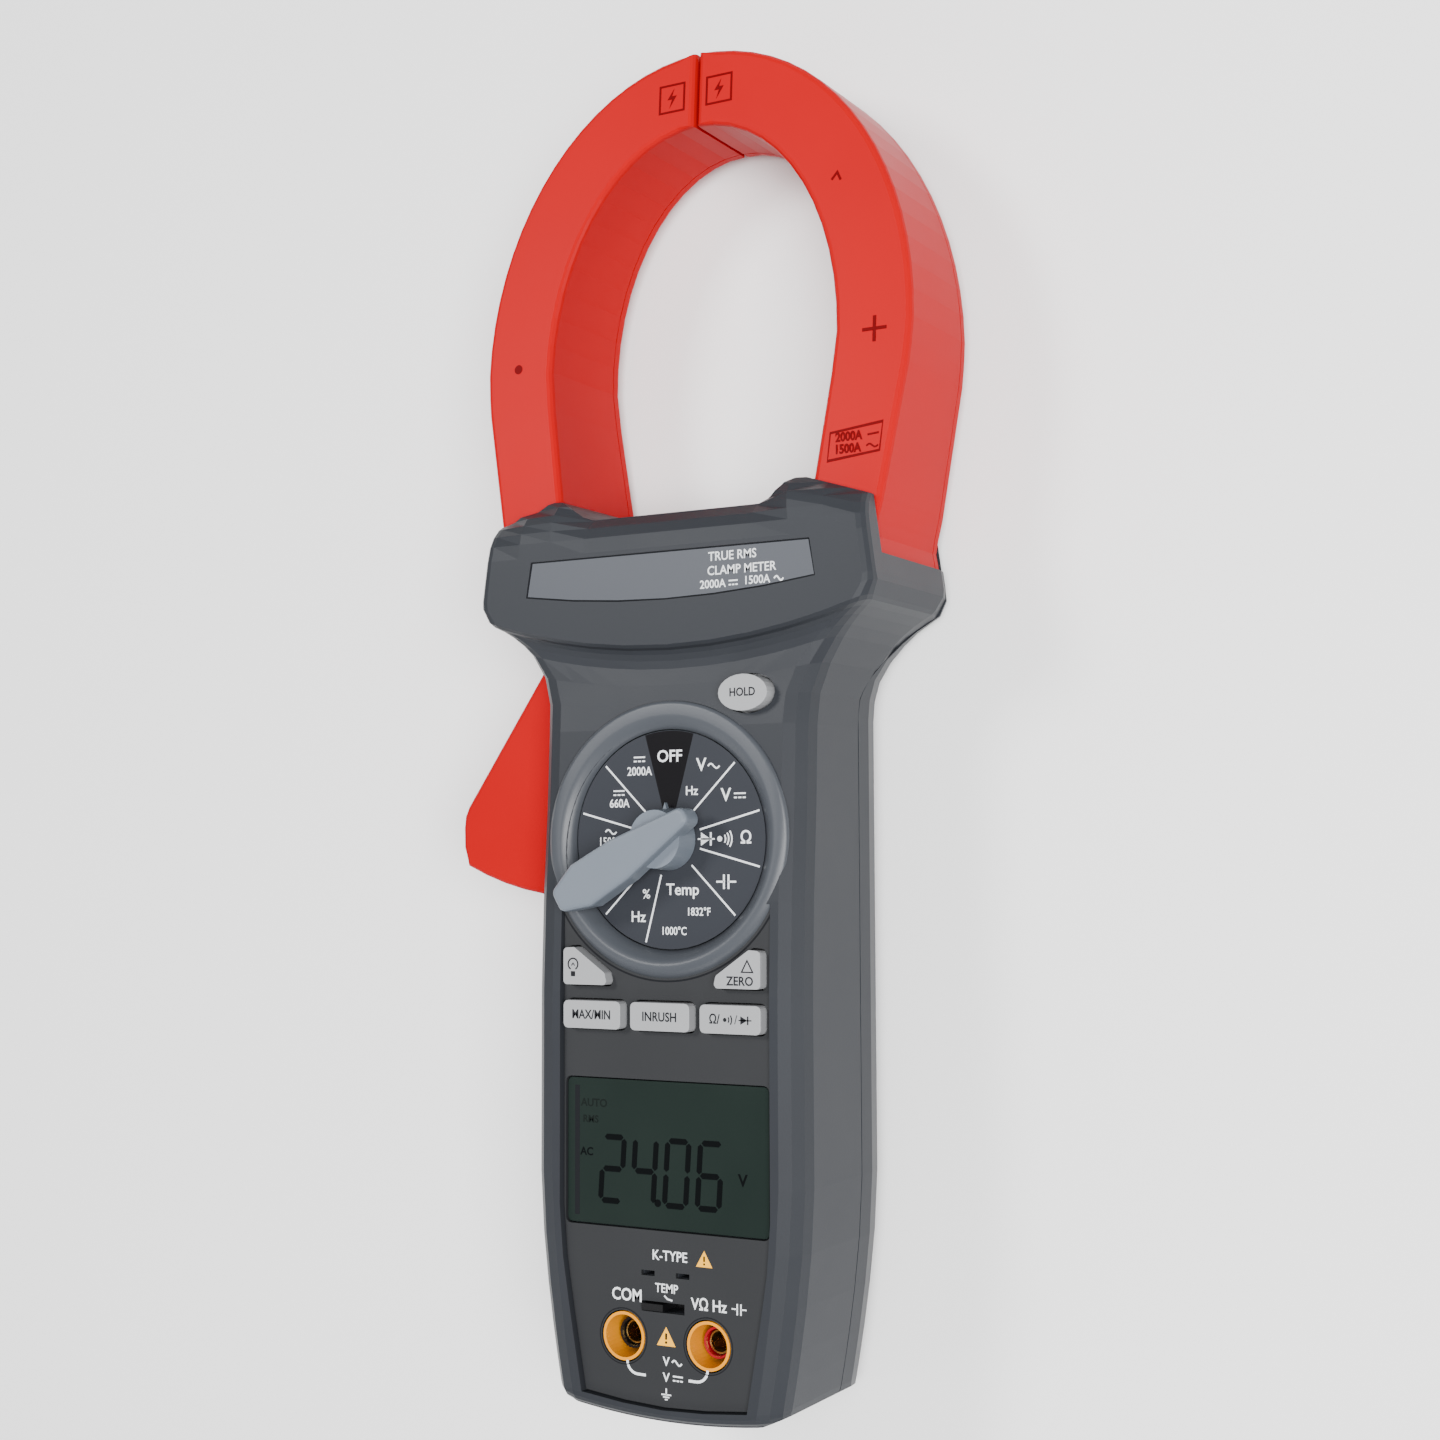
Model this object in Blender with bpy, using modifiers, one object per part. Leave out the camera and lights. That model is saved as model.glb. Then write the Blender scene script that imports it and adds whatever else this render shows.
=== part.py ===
"""A hand-held clamp meter lying on its back, built as separate named pieces.

X runs to the right of somebody facing the display, Y runs from the test-lead jacks to the
jaws, and Z comes up out of the display. The origin is on the flat rear face, on the plane
of symmetry, at the height of the selector's axis. All lengths are in millimetres until
MM turns them into metres.
"""
import math

import bmesh
import bpy
from mathutils import Matrix, Vector

MM = 0.001
GAP = 0.3                    # left between neighbouring pieces

# Housing: half widths along X, heights along Z.
HANDLE_HALF = 30.5
HEAD_HALF = 45.3
WALL = 2.2
DEPTH_INSIDE = 35.2          # height of the housing's inner front surface
PANEL_TOP = 40.1             # printed face of the lower panel
FRONT_TOP = 41.3             # housing front beside the panel
SCOOP_TOP = 36.8             # housing front just below the head
HEAD_TOP = 39.8
HEAD_EDGE_DROP = 5.0         # how far the head's face rolls down to its top edge
HEAD_EDGE_ROLL = 7.0
BOTTOM_Y = -111.8
BOTTOM_BOW = 2.0             # the lower end bows out by this much
TAPER_Y = -66.0              # the handle narrows below here
TAPER_BY = 4.9
FLARE_Y = 24.0               # the hand guard starts to flare here
FLARE_RADIUS = 23.2
GUARD_Y = 45.0
SHOULDER_Y = 65.3
PEAK_X, PEAK_Y = 28.5, 70.0
WINDOW_X = 19.0              # flat stretch of the head's top edge between the jaws
LIP_Y, LIP_BEND = 37.8, 6.0  # the head's lower lip is a bow
LIP_COVE = 4.0
PARTING_Z, HEAD_PARTING_Z = 15.7, 4.0
PARTING_FROM, PARTING_TO = 26.0, 46.0

# Jaws.
TIP_GAP = 0.4                # half of the gap between the closed tips
OUTER_A, OUTER_B, OUTER_Y = 49.8, 62.8, 100.0
INNER_A, INNER_B, INNER_Y = 33.4, 48.1, 98.9
ROOT_Y = 64.5
ROOT_OUTER, ROOT_INNER = 44.1, 28.6
JAW_BACK, JAW_LID = 3.7, 2.4
JAW_FRONT, JAW_REF_Y = 31.0, 96.75
FRONT_SLOPE, BACK_SLOPE = -0.067, 0.0234
JAW_EDGE = 1.2
JAW_WALL = 2.0
PIVOT_X, PIVOT_Y = 28.0, 53.0
PIN_RADIUS = 2.5
HUB_RADIUS = 6.3
ARM_BOTTOM, ARM_TOP = 10.0, 25.0
ROOT_TOP, ROOM_TOP = 33.3, 34.0    # front of the jaw's root, and of the room for it
TEETH = 28
GEAR_ADDENDUM, GEAR_DEDENDUM = 1.6, 2.2
GEAR_BACKLASH = 0.6
GEAR_TOP = 22.0
TRIGGER_BOTTOM, TRIGGER_TOP = 10.5, 28.4
TONGUE_BOTTOM, TONGUE_TOP = 15.0, 21.0
TRIGGER_PIN = (-31.5, 37.5)

# Controls.
DIAL_RADIUS = 21.5
DIAL_TOP = 38.2
DIAL_PLATE = 1.0
RING_RADIUS = 26.0
KNOB_HUB = 6.1
KNOB_AT = 240.0              # degrees clockwise from the top of the dial
BUTTON_TOP = 42.2
BUTTON_TRAVEL = 0.8
BOARD_BOTTOM, BOARD_TOP = 30.4, 31.6
LCD_X, LCD_LOW, LCD_HIGH = 23.0, -75.7, -46.8
JACK_X, JACK_Y = 9.5, -96.5
JACK_RADIUS = 4.1
SLOT_Y = -90.2
CASE_SCREWS = ((-17.0, -104.3), (17.0, -104.3), (-36.3, 47.6), (36.3, 47.6))
BATTERY_Y = (-75.5, -27.0)

COLOURS = {
    "housing": ((0.105, 0.118, 0.135), 0.5, 0.0),
    "panel": ((0.062, 0.066, 0.072), 0.55, 0.0),
    "red": ((0.62, 0.006, 0.02), 0.32, 0.0),
    "keys": ((0.52, 0.52, 0.53), 0.55, 0.0),
    "knob": ((0.25, 0.30, 0.34), 0.4, 0.0),
    "dial": ((0.062, 0.066, 0.080), 0.5, 0.0),
    "glass": ((0.05, 0.07, 0.06), 0.1, 0.0),
    "yellow": ((0.75, 0.42, 0.02), 0.4, 0.0),
    "black": ((0.015, 0.015, 0.017), 0.45, 0.0),
    "steel": ((0.55, 0.55, 0.56), 0.3, 1.0),
    "brass": ((0.70, 0.52, 0.25), 0.3, 1.0),
    "board": ((0.02, 0.16, 0.07), 0.45, 0.0),
    "rubber": ((0.05, 0.05, 0.055), 0.8, 0.0),
    "white": ((0.75, 0.76, 0.74), 0.5, 0.0),
}

for old in list(bpy.data.objects):
    bpy.data.objects.remove(old, do_unlink=True)

PARTS = bpy.data.collections.new("clamp_meter")
CUTTERS = bpy.data.collections.new("clamp_meter_cutters")
bpy.context.scene.collection.children.link(PARTS)
bpy.context.scene.collection.children.link(CUTTERS)


# ---------------------------------------------------------------- tools

def material(name):
    found = bpy.data.materials.get(name)
    if found:
        return found
    colour, roughness, metallic = COLOURS[name]
    made = bpy.data.materials.new(name)
    made.use_nodes = True
    shader = made.node_tree.nodes["Principled BSDF"]
    shader.inputs["Base Color"].default_value = (*colour, 1.0)
    shader.inputs["Roughness"].default_value = roughness
    shader.inputs["Metallic"].default_value = metallic
    return made


def new_object(name, mesh, look):
    """A part when it has a look, or a cutter when its look is None."""
    made = bpy.data.objects.new(name, mesh)
    if look is None:
        CUTTERS.objects.link(made)
        made.hide_render = True
        made.display_type = "WIRE"
        return made
    PARTS.objects.link(made)
    mesh.materials.append(material(look))
    mesh.shade_smooth()
    mesh.set_sharp_from_angle(angle=math.radians(35))
    return made


def from_bmesh(name, bm, look):
    """Turn a bmesh in millimetres into an object in metres."""
    bmesh.ops.recalc_face_normals(bm, faces=bm.faces)
    bmesh.ops.scale(bm, vec=Vector((MM, MM, MM)), verts=bm.verts)
    mesh = bpy.data.meshes.new(name)
    bm.to_mesh(mesh)
    bm.free()
    return new_object(name, mesh, look)


def box(name, low, high, look=None):
    bm = bmesh.new()
    bmesh.ops.create_cube(bm, size=1.0)
    size = [b - a for a, b in zip(low, high)]
    middle = [(a + b) / 2 for a, b in zip(low, high)]
    bmesh.ops.scale(bm, vec=Vector(size), verts=bm.verts)
    bmesh.ops.translate(bm, vec=Vector(middle), verts=bm.verts)
    return from_bmesh(name, bm, look)


def cylinder(name, x, y, radius, z0, z1, look=None, top_radius=None, sides=32):
    bm = bmesh.new()
    top = radius if top_radius is None else top_radius
    bmesh.ops.create_cone(bm, cap_ends=True, segments=sides, radius1=radius, radius2=top, depth=z1 - z0)
    bmesh.ops.translate(bm, vec=Vector((x, y, (z0 + z1) / 2)), verts=bm.verts)
    return from_bmesh(name, bm, look)


def plate(name, loops, z0, z1, look=None, side_on=False):
    """A flat outline with any holes, extruded from z0 to z1; side_on draws it in the YZ plane."""
    curve = bpy.data.curves.new(name, "CURVE")
    curve.dimensions = "2D"
    curve.fill_mode = "BOTH"
    curve.extrude = (z1 - z0) / 2 * MM
    for loop in loops:
        spline = curve.splines.new("POLY")
        spline.points.add(len(loop) - 1)
        spline.use_cyclic_u = True
        for point, (x, y) in zip(spline.points, loop):
            point.co = (x * MM, y * MM, 0.0, 1.0)
    guide = bpy.data.objects.new(name + "_outline", curve)
    guide.location.z = (z0 + z1) / 2 * MM
    PARTS.objects.link(guide)
    mesh = bpy.data.meshes.new_from_object(guide)
    mesh.name = name
    mesh.materials.clear()
    mesh.transform(Matrix.Translation(guide.location))
    bpy.data.objects.remove(guide)
    if side_on:
        turn = Matrix(((0, 0, 1, 0), (1, 0, 0, 0), (0, 1, 0, 0), (0, 0, 0, 1)))
        mesh.transform(turn)
    bm = bmesh.new()
    bm.from_mesh(mesh)
    bmesh.ops.remove_doubles(bm, verts=bm.verts, dist=1e-7)
    bmesh.ops.recalc_face_normals(bm, faces=bm.faces)
    bm.to_mesh(mesh)
    bm.free()
    return new_object(name, mesh, look)


def stacked(name, outline, levels, look):
    """An outline carried up through (height, inset) levels: a plate with its own rounded rims."""
    bm = bmesh.new()
    rings = [[bm.verts.new((x, y, z)) for x, y in offset(outline, -inset)] for z, inset in levels]
    for low, high in zip(rings, rings[1:]):
        for i in range(len(low)):
            j = (i + 1) % len(low)
            bm.faces.new((low[i], low[j], high[j], high[i]))
    bm.faces.new(rings[0])
    bm.faces.new(rings[-1])
    return from_bmesh(name, bm, look)


def rim(height, radius, upward=True, steps=3):
    """The levels of a rounded rim that ends at a height."""
    levels = []
    for i in range(steps + 1):
        a = math.radians(90 * i / steps)
        reach = radius * (1 - math.sin(a))
        levels.append((height - reach if upward else height + reach, radius * (1 - math.cos(a))))
    return levels if upward else list(reversed(levels))


def turned(name, x, y, profile, look, sides=32):
    """A ring-shaped piece: a closed (radius, height) profile turned about a vertical axis."""
    bm = bmesh.new()
    ring = [bm.verts.new((radius, 0.0, height)) for radius, height in profile]
    edges = [bm.edges.new((a, b)) for a, b in zip(ring, ring[1:] + ring[:1])]
    bmesh.ops.spin(bm, geom=ring + edges, cent=(0, 0, 0), axis=(0, 0, 1),
                   angle=math.tau, steps=sides, use_duplicate=False)
    bmesh.ops.remove_doubles(bm, verts=bm.verts, dist=1e-4)
    bmesh.ops.delete(bm, geom=[edge for edge in bm.edges if not edge.link_faces], context="EDGES")
    bmesh.ops.translate(bm, vec=Vector((x, y, 0.0)), verts=bm.verts)
    return from_bmesh(name, bm, look)


def circle(x, y, radius, sides=32):
    turns = [math.tau * i / sides for i in range(sides)]
    return [(x + radius * math.cos(a), y + radius * math.sin(a)) for a in turns]


def rounded(x0, y0, x1, y1, radius, steps=3):
    """The outline of a rectangle with round corners."""
    points = []
    corners = ((x1 - radius, y1 - radius, 0), (x0 + radius, y1 - radius, 90),
               (x0 + radius, y0 + radius, 180), (x1 - radius, y0 + radius, 270))
    for cx, cy, start in corners:
        for i in range(steps + 1):
            a = math.radians(start + 90 * i / steps)
            points.append((cx + radius * math.cos(a), cy + radius * math.sin(a)))
    return points


def rounded_corners(corners, radius, steps=3):
    """Round every corner of a polygon."""
    points = []
    count = len(corners)
    for i in range(count):
        here = Vector(corners[i])
        back = (Vector(corners[i - 1]) - here).normalized()
        onward = (Vector(corners[(i + 1) % count]) - here).normalized()
        half = back.angle(onward) / 2
        reach = radius / math.tan(half)
        start, end = here + back * reach, here + onward * reach
        centre = here + (back + onward).normalized() * radius / math.sin(half)
        for k in range(steps + 1):
            ray = (start - centre).lerp(end - centre, k / steps)
            points.append(tuple(centre + ray.normalized() * radius))
    return points


def mirrored(points):
    return [(-x, y) for x, y in points]


def offset(points, grow):
    """Move an outline outwards by grow, whichever way round it runs."""
    area = sum(a[0] * b[1] - b[0] * a[1] for a, b in zip(points, points[1:] + points[:1]))
    side = grow if area > 0 else -grow
    moved = []
    for i, here in enumerate(points):
        a, b = Vector(points[i - 1]), Vector(points[(i + 1) % len(points)])
        along = (b - a).normalized()
        moved.append((here[0] + along.y * side, here[1] - along.x * side))
    return moved


def boolean(target, others, operation):
    """Join or cut target with a group of cutters, kept in a collection of their own."""
    group = bpy.data.collections.new(f"{target.name}_{operation.lower()}")
    CUTTERS.children.link(group)
    for other in others:
        group.objects.link(other)
    step = target.modifiers.new(operation.title(), "BOOLEAN")
    step.operation = operation
    step.operand_type = "COLLECTION"
    step.collection = group
    step.solver = "EXACT"
    return target


def cut(target, cutters):
    return boolean(target, cutters, "DIFFERENCE")


def join(target, others):
    return boolean(target, others, "UNION")


def bevel(target, width, segments=2, angle=40):
    step = target.modifiers.new("Bevel", "BEVEL")
    step.width = width * MM
    step.segments = segments
    step.limit_method = "ANGLE"
    step.angle_limit = math.radians(angle)
    step.use_clamp_overlap = True
    return target


def set_origin(target, x, y, z):
    """Put a moving piece's origin on its joint's axis without moving the piece."""
    place = Vector((x, y, z)) * MM
    target.data.transform(Matrix.Translation(-place))
    target.location = place
    return target


# ---------------------------------------------------------------- housing

def smooth(t):
    t = min(1.0, max(0.0, t))
    return t * t * (3 - 2 * t)


def arc_drop(distance, radius, drop):
    """How far a rounded edge has fallen at a distance in from that edge."""
    if distance >= radius:
        return 0.0
    t = 1 - max(distance, 0.0) / radius
    return drop * (1 - math.sqrt(1 - t * t))


def top_edge(x):
    """The head's top edge: flat between the jaws, a peak by each jaw, a sloping shoulder."""
    x = abs(x)
    if x <= WINDOW_X:
        return SHOULDER_Y
    if x <= PEAK_X:
        return SHOULDER_Y + (PEAK_Y - SHOULDER_Y) * smooth((x - WINDOW_X) / (PEAK_X - WINDOW_X))
    return PEAK_Y + (SHOULDER_Y - PEAK_Y) * (x - PEAK_X) / (43.0 - PEAK_X)


def half_width(y):
    if y < TAPER_Y:
        return HANDLE_HALF - TAPER_BY * ((TAPER_Y - y) / (TAPER_Y + 107.0)) ** 1.6
    if y < FLARE_Y:
        return HANDLE_HALF
    if y < GUARD_Y:
        rise = y - FLARE_Y
        return HANDLE_HALF + FLARE_RADIUS - math.sqrt(FLARE_RADIUS ** 2 - rise ** 2)
    flared = HANDLE_HALF + FLARE_RADIUS - math.sqrt(FLARE_RADIUS ** 2 - (GUARD_Y - FLARE_Y) ** 2)
    blend = smooth((y - GUARD_Y) / 3.0)
    return flared + (HEAD_HALF - flared) * blend - 0.14 * max(0.0, y - 49.0)


def front_height(x, y):
    """The housing's front: level beside the panel, scooped under the head, and the raised head."""
    ramp = FRONT_TOP - 2.7 * smooth((y + 30.0) / 56.0) - 1.8 * smooth((y - 22.0) / 14.0)
    bottom = BOTTOM_Y + BOTTOM_BOW * (x / 24.0) ** 2
    ramp -= arc_drop(y - bottom, 2.5, 2.5)
    head = HEAD_TOP - arc_drop(top_edge(x) - y, HEAD_EDGE_ROLL, HEAD_EDGE_DROP)
    lip = LIP_Y + LIP_BEND * (x / 40.0) ** 2
    cove = (y - lip + LIP_COVE) / LIP_COVE
    if cove <= 0:
        return ramp
    if cove < 0.999:
        return ramp + (head - 0.5 - ramp) * (1 - math.sqrt(1 - cove * cove))
    return head - 0.5 * max(0.0, 1 - (y - lip) / 0.6)


def row_bend(v):
    """How much of the lip's bow, and of the lower end's bow, a row across the housing follows."""
    lip = smooth((v - FLARE_Y) / 9.0) * (1 - smooth((v - 39.5) / 15.0))
    end = 1 - smooth((v + 106.0) / 14.0)
    return lip * LIP_BEND / 1600.0, end * BOTTOM_BOW / 576.0


def section(v, inset, ceiling, across):
    """Half of a section round the housing, from the rear middle to the front middle."""
    bend = 0.0 if ceiling else sum(row_bend(v))
    side = half_width(v)
    for _ in range(6):
        side = half_width(v + bend * side * side)
    handle = 1 - smooth((v - 30.0) / 14.0)
    rear_round = 6.0 + 5.0 * handle - inset
    front_round = 2.0 + 3.0 * handle
    side -= inset
    if ceiling:
        front_round = 1.0

    def height(x):
        return ceiling or front_height(x, v + bend * x * x)

    def point(x, z):
        return (x, v + bend * x * x, z)

    shape = [point(0.0, inset), point((side - rear_round) * 0.6, inset)]
    for i in range(4):
        a = math.radians(270 + 90 * i / 3)
        shape.append(point(side - rear_round + rear_round * math.cos(a),
                           inset + rear_round + rear_round * math.sin(a)))
    edge = height(side - front_round)
    for i in range(4):
        a = math.radians(90 * i / 3)
        shape.append(point(side - front_round + front_round * math.cos(a),
                           edge - front_round + front_round * math.sin(a)))
    shape += [point((side - front_round) * f, height((side - front_round) * f)) for f in across]
    return shape


def housing_form(name, rows, look, inset=0.0, ceiling=None, across=(0.84, 0.66, 0.46, 0.24, 0.0)):
    """The housing as one closed form, lofted through rows across it."""
    bm = bmesh.new()
    rings = []
    for v in rows:
        half = section(v, inset, ceiling, across)
        loop = half + [(-x, y, z) for x, y, z in reversed(half[1:-1])]
        rings.append([bm.verts.new(p) for p in loop])
    for low, high in zip(rings, rings[1:]):
        for i in range(len(low)):
            j = (i + 1) % len(low)
            bm.faces.new((low[i], low[j], high[j], high[i]))
    bm.faces.new(rings[0])
    bm.faces.new(rings[-1])
    return from_bmesh(name, bm, look)


LIP_ROWS = [LIP_Y - LIP_COVE * (1 - t) for t in (0.0, 0.4, 0.7, 0.9, 0.998)] + [LIP_Y + 0.6]
OUTER_ROWS = ([-114.0, -111.6, -111.0, -110.2, -109.3, -104.0, -97.0, -88.0, -78.0, -66.0, -30.0,
               -12.0, 6.0, 22.0, 27.0, 30.5] + LIP_ROWS
              + [41.0, 44.0, 46.0, 48.0, 51.0, 58.0, 61.0, 63.2, 65.0, 66.6, 68.4, 70.5])
REAR_ROWS = [-114.0, -109.3, -104.0, -97.0, -88.0, -78.0, -66.0, 24.0, 28.0, 32.0, 36.0, 39.5, 42.0, 45.0,
             46.5, 48.0, 51.0, 70.5]
INNER_ROWS = [-109.2, -104.0, -96.0, -88.0, -78.0, -66.0, 24.0, 29.0, 33.0, 36.5, 39.5, 42.0, 45.0, 49.0,
              63.0]


def plan_trimmer(name):
    """Everything outside the housing's outline at its two ends."""
    steps = 24
    top = [(x, top_edge(x)) for x in (46.5 * (1 - 2 * i / (2 * steps)) for i in range(2 * steps + 1))]
    upper = plate(name + "_upper", [top + [(-46.5, 80.0), (46.5, 80.0)]], -5.0, 50.0)
    reach = 21.0
    arc = [(x, BOTTOM_Y + BOTTOM_BOW * (x / 24.0) ** 2) for x in
           (reach * (2 * i / steps - 1) for i in range(steps + 1))]
    corner = [(25.2, -108.4), (25.9, -106.0), (40.0, -106.0), (40.0, -120.0)]
    start = mirrored(list(reversed(corner)))
    lower = plate(name + "_lower", [start + arc + corner], -5.0, 50.0)
    return [upper, lower]


def parting(name, keep_front):
    """The slab that is taken away on one side of the housing's parting line."""
    line = []
    for i in range(13):
        y = PARTING_FROM + (PARTING_TO - PARTING_FROM) * i / 12
        drop = (1 + math.cos(math.pi * i / 12)) / 2
        line.append((y, HEAD_PARTING_Z + (PARTING_Z - HEAD_PARTING_Z) * drop))
    line = [(-125.0, PARTING_Z)] + line + [(90.0, HEAD_PARTING_Z)]
    shift = GAP / 2 if keep_front else -GAP / 2
    line = [(y, z + shift) for y, z in line]
    limit = -10.0 if keep_front else 60.0
    return plate(name, [line + [(90.0, limit), (-125.0, limit)]], -60.0, 60.0, side_on=True)


def jaw_outline():
    """The right jaw's plan, from its tip round the outside to its root and back inside."""
    points = [(TIP_GAP, OUTER_Y + OUTER_B)]
    for i in range(1, 19):
        a = math.radians(90 - 90 * i / 18)
        points.append((OUTER_A * math.cos(a), OUTER_Y + OUTER_B * math.sin(a)))
    points += [(49.45, 95.0), (49.0, 91.0), (ROOT_OUTER, ROOT_Y), (43.0, 60.2), (42.5, 57.6), (42.9, 55.3),
               (43.2, 53.0), (43.1, 51.1), (41.1, 51.1), (40.8, 55.0), (39.6, 57.4),
                (36.0, 59.8), (28.4, 61.6), (ROOT_INNER, ROOT_Y), (32.5, 90.5)]
    for i in range(0, 13):
        a = math.radians(90 * i / 13)
        points.append((INNER_A * math.cos(a), INNER_Y + INNER_B * math.sin(a)))
    points.append((TIP_GAP, INNER_Y + INNER_B))
    return points


def core_outline(grow=0.0):
    """The magnetic core's plan: a bow in the middle of the jaw's own section."""
    steps = 16
    width = 5.6 + grow
    points = []
    for side in (1, -1):
        a_axis = (OUTER_A + INNER_A) / 2 + side * width
        b_axis = (OUTER_B + INNER_B) / 2 + side * width
        middle = (OUTER_Y + INNER_Y) / 2
        arc = []
        for i in range(steps + 1):
            a = math.radians((84.0 + grow * 0.8) * (1 - i / steps))
            arc.append((a_axis * math.cos(a), middle + b_axis * math.sin(a)))
        arc.append((36.4 + side * width, 68.0 - grow))
        points += arc if side == 1 else list(reversed(arc))
    return points


def arm_outline():
    """The plan of the root that joins the right jaw to its hub."""
    return [(29.0, 62.4), (41.4, 62.4), (41.4, 59.4), (33.0, 52.0), (24.0, 48.6), (22.6, 56.0), (25.0, 59.0)]


def tooth(angle, tooth_side):
    """One gear tooth's corners about the pivot, walking from its lower flank to its upper."""
    pitch = PIVOT_X
    base = pitch * math.cos(math.radians(20))
    half = math.pi / (2 * TEETH) - GEAR_BACKLASH / (4 * pitch)
    involute = math.tan(math.radians(20)) - math.radians(20)

    def half_angle(radius):
        if radius <= base:
            return half + involute
        pressure = math.acos(base / radius)
        return half + involute - (math.tan(pressure) - pressure)

    radii = [pitch - GEAR_DEDENDUM, base + 0.05, pitch - 0.5, pitch + 0.6, pitch + GEAR_ADDENDUM]
    lower = [(r, angle - math.degrees(half_angle(r))) for r in radii]
    upper = [(r, angle + math.degrees(half_angle(r))) for r in reversed(radii)]
    polar = lower + upper
    return [(r, a * tooth_side) for r, a in polar]


def sector_outline(angles, pivot_side):
    """A gear sector: a web from the hub to the root circle, with teeth at the given angles.

    Angles are measured up from the line between the pivots. pivot_side is -1 for the left
    jaw and 1 for the right jaw, whose sector points the other way.
    """
    root = PIVOT_X - GEAR_DEDENDUM
    polar = [(5.0, -80.0), (root - 6.0, angles[0] - 9.0), (root, angles[0] - 6.0)]
    for angle in angles:
        polar += tooth(angle, 1)
    polar += [(root, angles[-1] + 3.4), (5.0, 70.0)]
    points = []
    for radius, degrees in polar:
        a = math.radians(degrees)
        points.append((pivot_side * (PIVOT_X - radius * math.cos(a)), PIVOT_Y + radius * math.sin(a)))
    return points


def trigger_outline():
    """The trigger's plan: a wedge that stands out of the left side of the handle."""
    bottom = []
    for i in range(7):
        a = math.radians(244.0 + 26.6 * i / 6)
        bottom.append((-PIVOT_X + 64.6 * math.cos(a), PIVOT_Y + 64.6 * math.sin(a)))
    return [(-33.2, 41.2), (-56.4, 7.6), (-57.3, 5.6), (-57.6, 3.0), (-57.5, -1.0),
            (-56.9, -3.0)] + bottom + [
        (-27.4, 12.0), (-26.2, 30.0), (-24.4, 40.5), (-26.0, 43.6), (-32.0, 43.9)]


def tongue_outline():
    """The left jaw's tongue that reaches down into the trigger."""
    return [(-31.5, 50.0), (-34.5, 42.0), (-35.2, 34.0), (-28.5, 32.5), (-26.5, 42.0), (-24.5, 50.0)]


def panel_outline(grow=0.0):
    """The printed panel's plan: the handle's front below the dial."""
    x, low = 23.4 + grow, -109.0 - grow
    arc = []
    reach = math.degrees(math.asin((x - 1.0) / RING_RADIUS))
    for i in range(17):
        a = math.radians(-90 + reach - 2 * reach * i / 16)
        radius = RING_RADIUS - grow
        arc.append((radius * math.cos(a), radius * math.sin(a)))
    right = [(x, arc[0][1]), (x, -72.0), (22.6 + grow, -82.0), (21.0 + grow, -92.0), (18.2 + grow, low + 1.4)]
    base = [(9.0, low + 0.4), (0.0, low), (-9.0, low + 0.4)]
    left = mirrored(list(reversed(right)))
    return list(reversed(arc)) + right + base + left


def label_outline(grow=0.0):
    """The head label's plan, with a bowed lower edge."""
    low = [(x, 47.6 - grow + 2.4 * (x / 33.0) ** 2) for x in (-33 - grow, -22, -11, 0, 11, 22, 33 + grow)]
    return low + [(31.8 + grow, 56.8 + grow), (-31.8 - grow, 56.8 + grow)]


def hold_outline(grow=0.0):
    turns = [math.tau * i / 24 for i in range(24)]
    return [(17.8 + (5.4 + grow) * math.cos(a), 28.1 + (3.6 + grow) * math.sin(a)) for a in turns]


def button_outlines():
    """Every push button's plan, by name."""
    corner = rounded_corners([(-22.3, -21.4), (-22.3, -28.6), (-12.0, -28.6), (-12.6, -26.2),
                              (-19.8, -21.2)], 0.8)
    return {
        "lamp_button": corner,
        "zero_button": mirrored(corner),
        "max_min_button": rounded(-22.3, -37.2, -9.0, -31.7, 1.0),
        "inrush_button": rounded(-6.7, -37.2, 6.7, -31.7, 1.0),
        "function_button": rounded(9.0, -37.2, 22.3, -31.7, 1.0),
        "hold_button": hold_outline(),
    }


def boss(name, x, y, radius, z0, z1):
    return cylinder(name, x, y, radius, z0, z1, sides=20)


def shell_joins(front):
    """Screw posts and pivot bosses that grow out of a shell."""
    joins = []
    label = "front" if front else "rear"
    for i, (x, y) in enumerate(CASE_SCREWS):
        low, high = (7.2, DEPTH_INSIDE + 0.5) if front else (1.0, 6.9)
        joins.append(boss(f"{label}_post_{i}", x, y, 3.4, low, high))
    for i, x in enumerate((-PIVOT_X, PIVOT_X)):
        low, high = (32.4, DEPTH_INSIDE + 0.5) if front else (1.0, 9.6)
        joins.append(boss(f"{label}_boss_{i}", x, PIVOT_Y, 5.0, low, high))
    return joins


def jaw_room(name):
    """Room for the jaws and the trigger at every angle that they swing through."""
    right = [(27.8, 77.0), (27.8, 61.0), (31.0, 60.4), (37.2, 56.4), (40.3, 52.9), (40.3, 46.9), (42.4, 47.0),
             (43.1, 49.0), (43.5, 51.0), (43.6, 53.0), (43.6, 54.0), (60.0, 54.0), (60.0, 77.0)]
    trigger = [(-26.0, -12.3), (-62.0, -12.3), (-62.0, 5.0), (-57.0, 8.3), (-33.5, 42.3), (-26.0, 44.6)]
    return [plate(f"{name}_trigger", [trigger], TRIGGER_BOTTOM - 0.6, TRIGGER_TOP + 0.6),
            plate(f"{name}_right_jaw", [right], 2.4, ROOM_TOP),
            plate(f"{name}_left_jaw", [mirrored(right)], 2.4, ROOM_TOP)]


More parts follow.
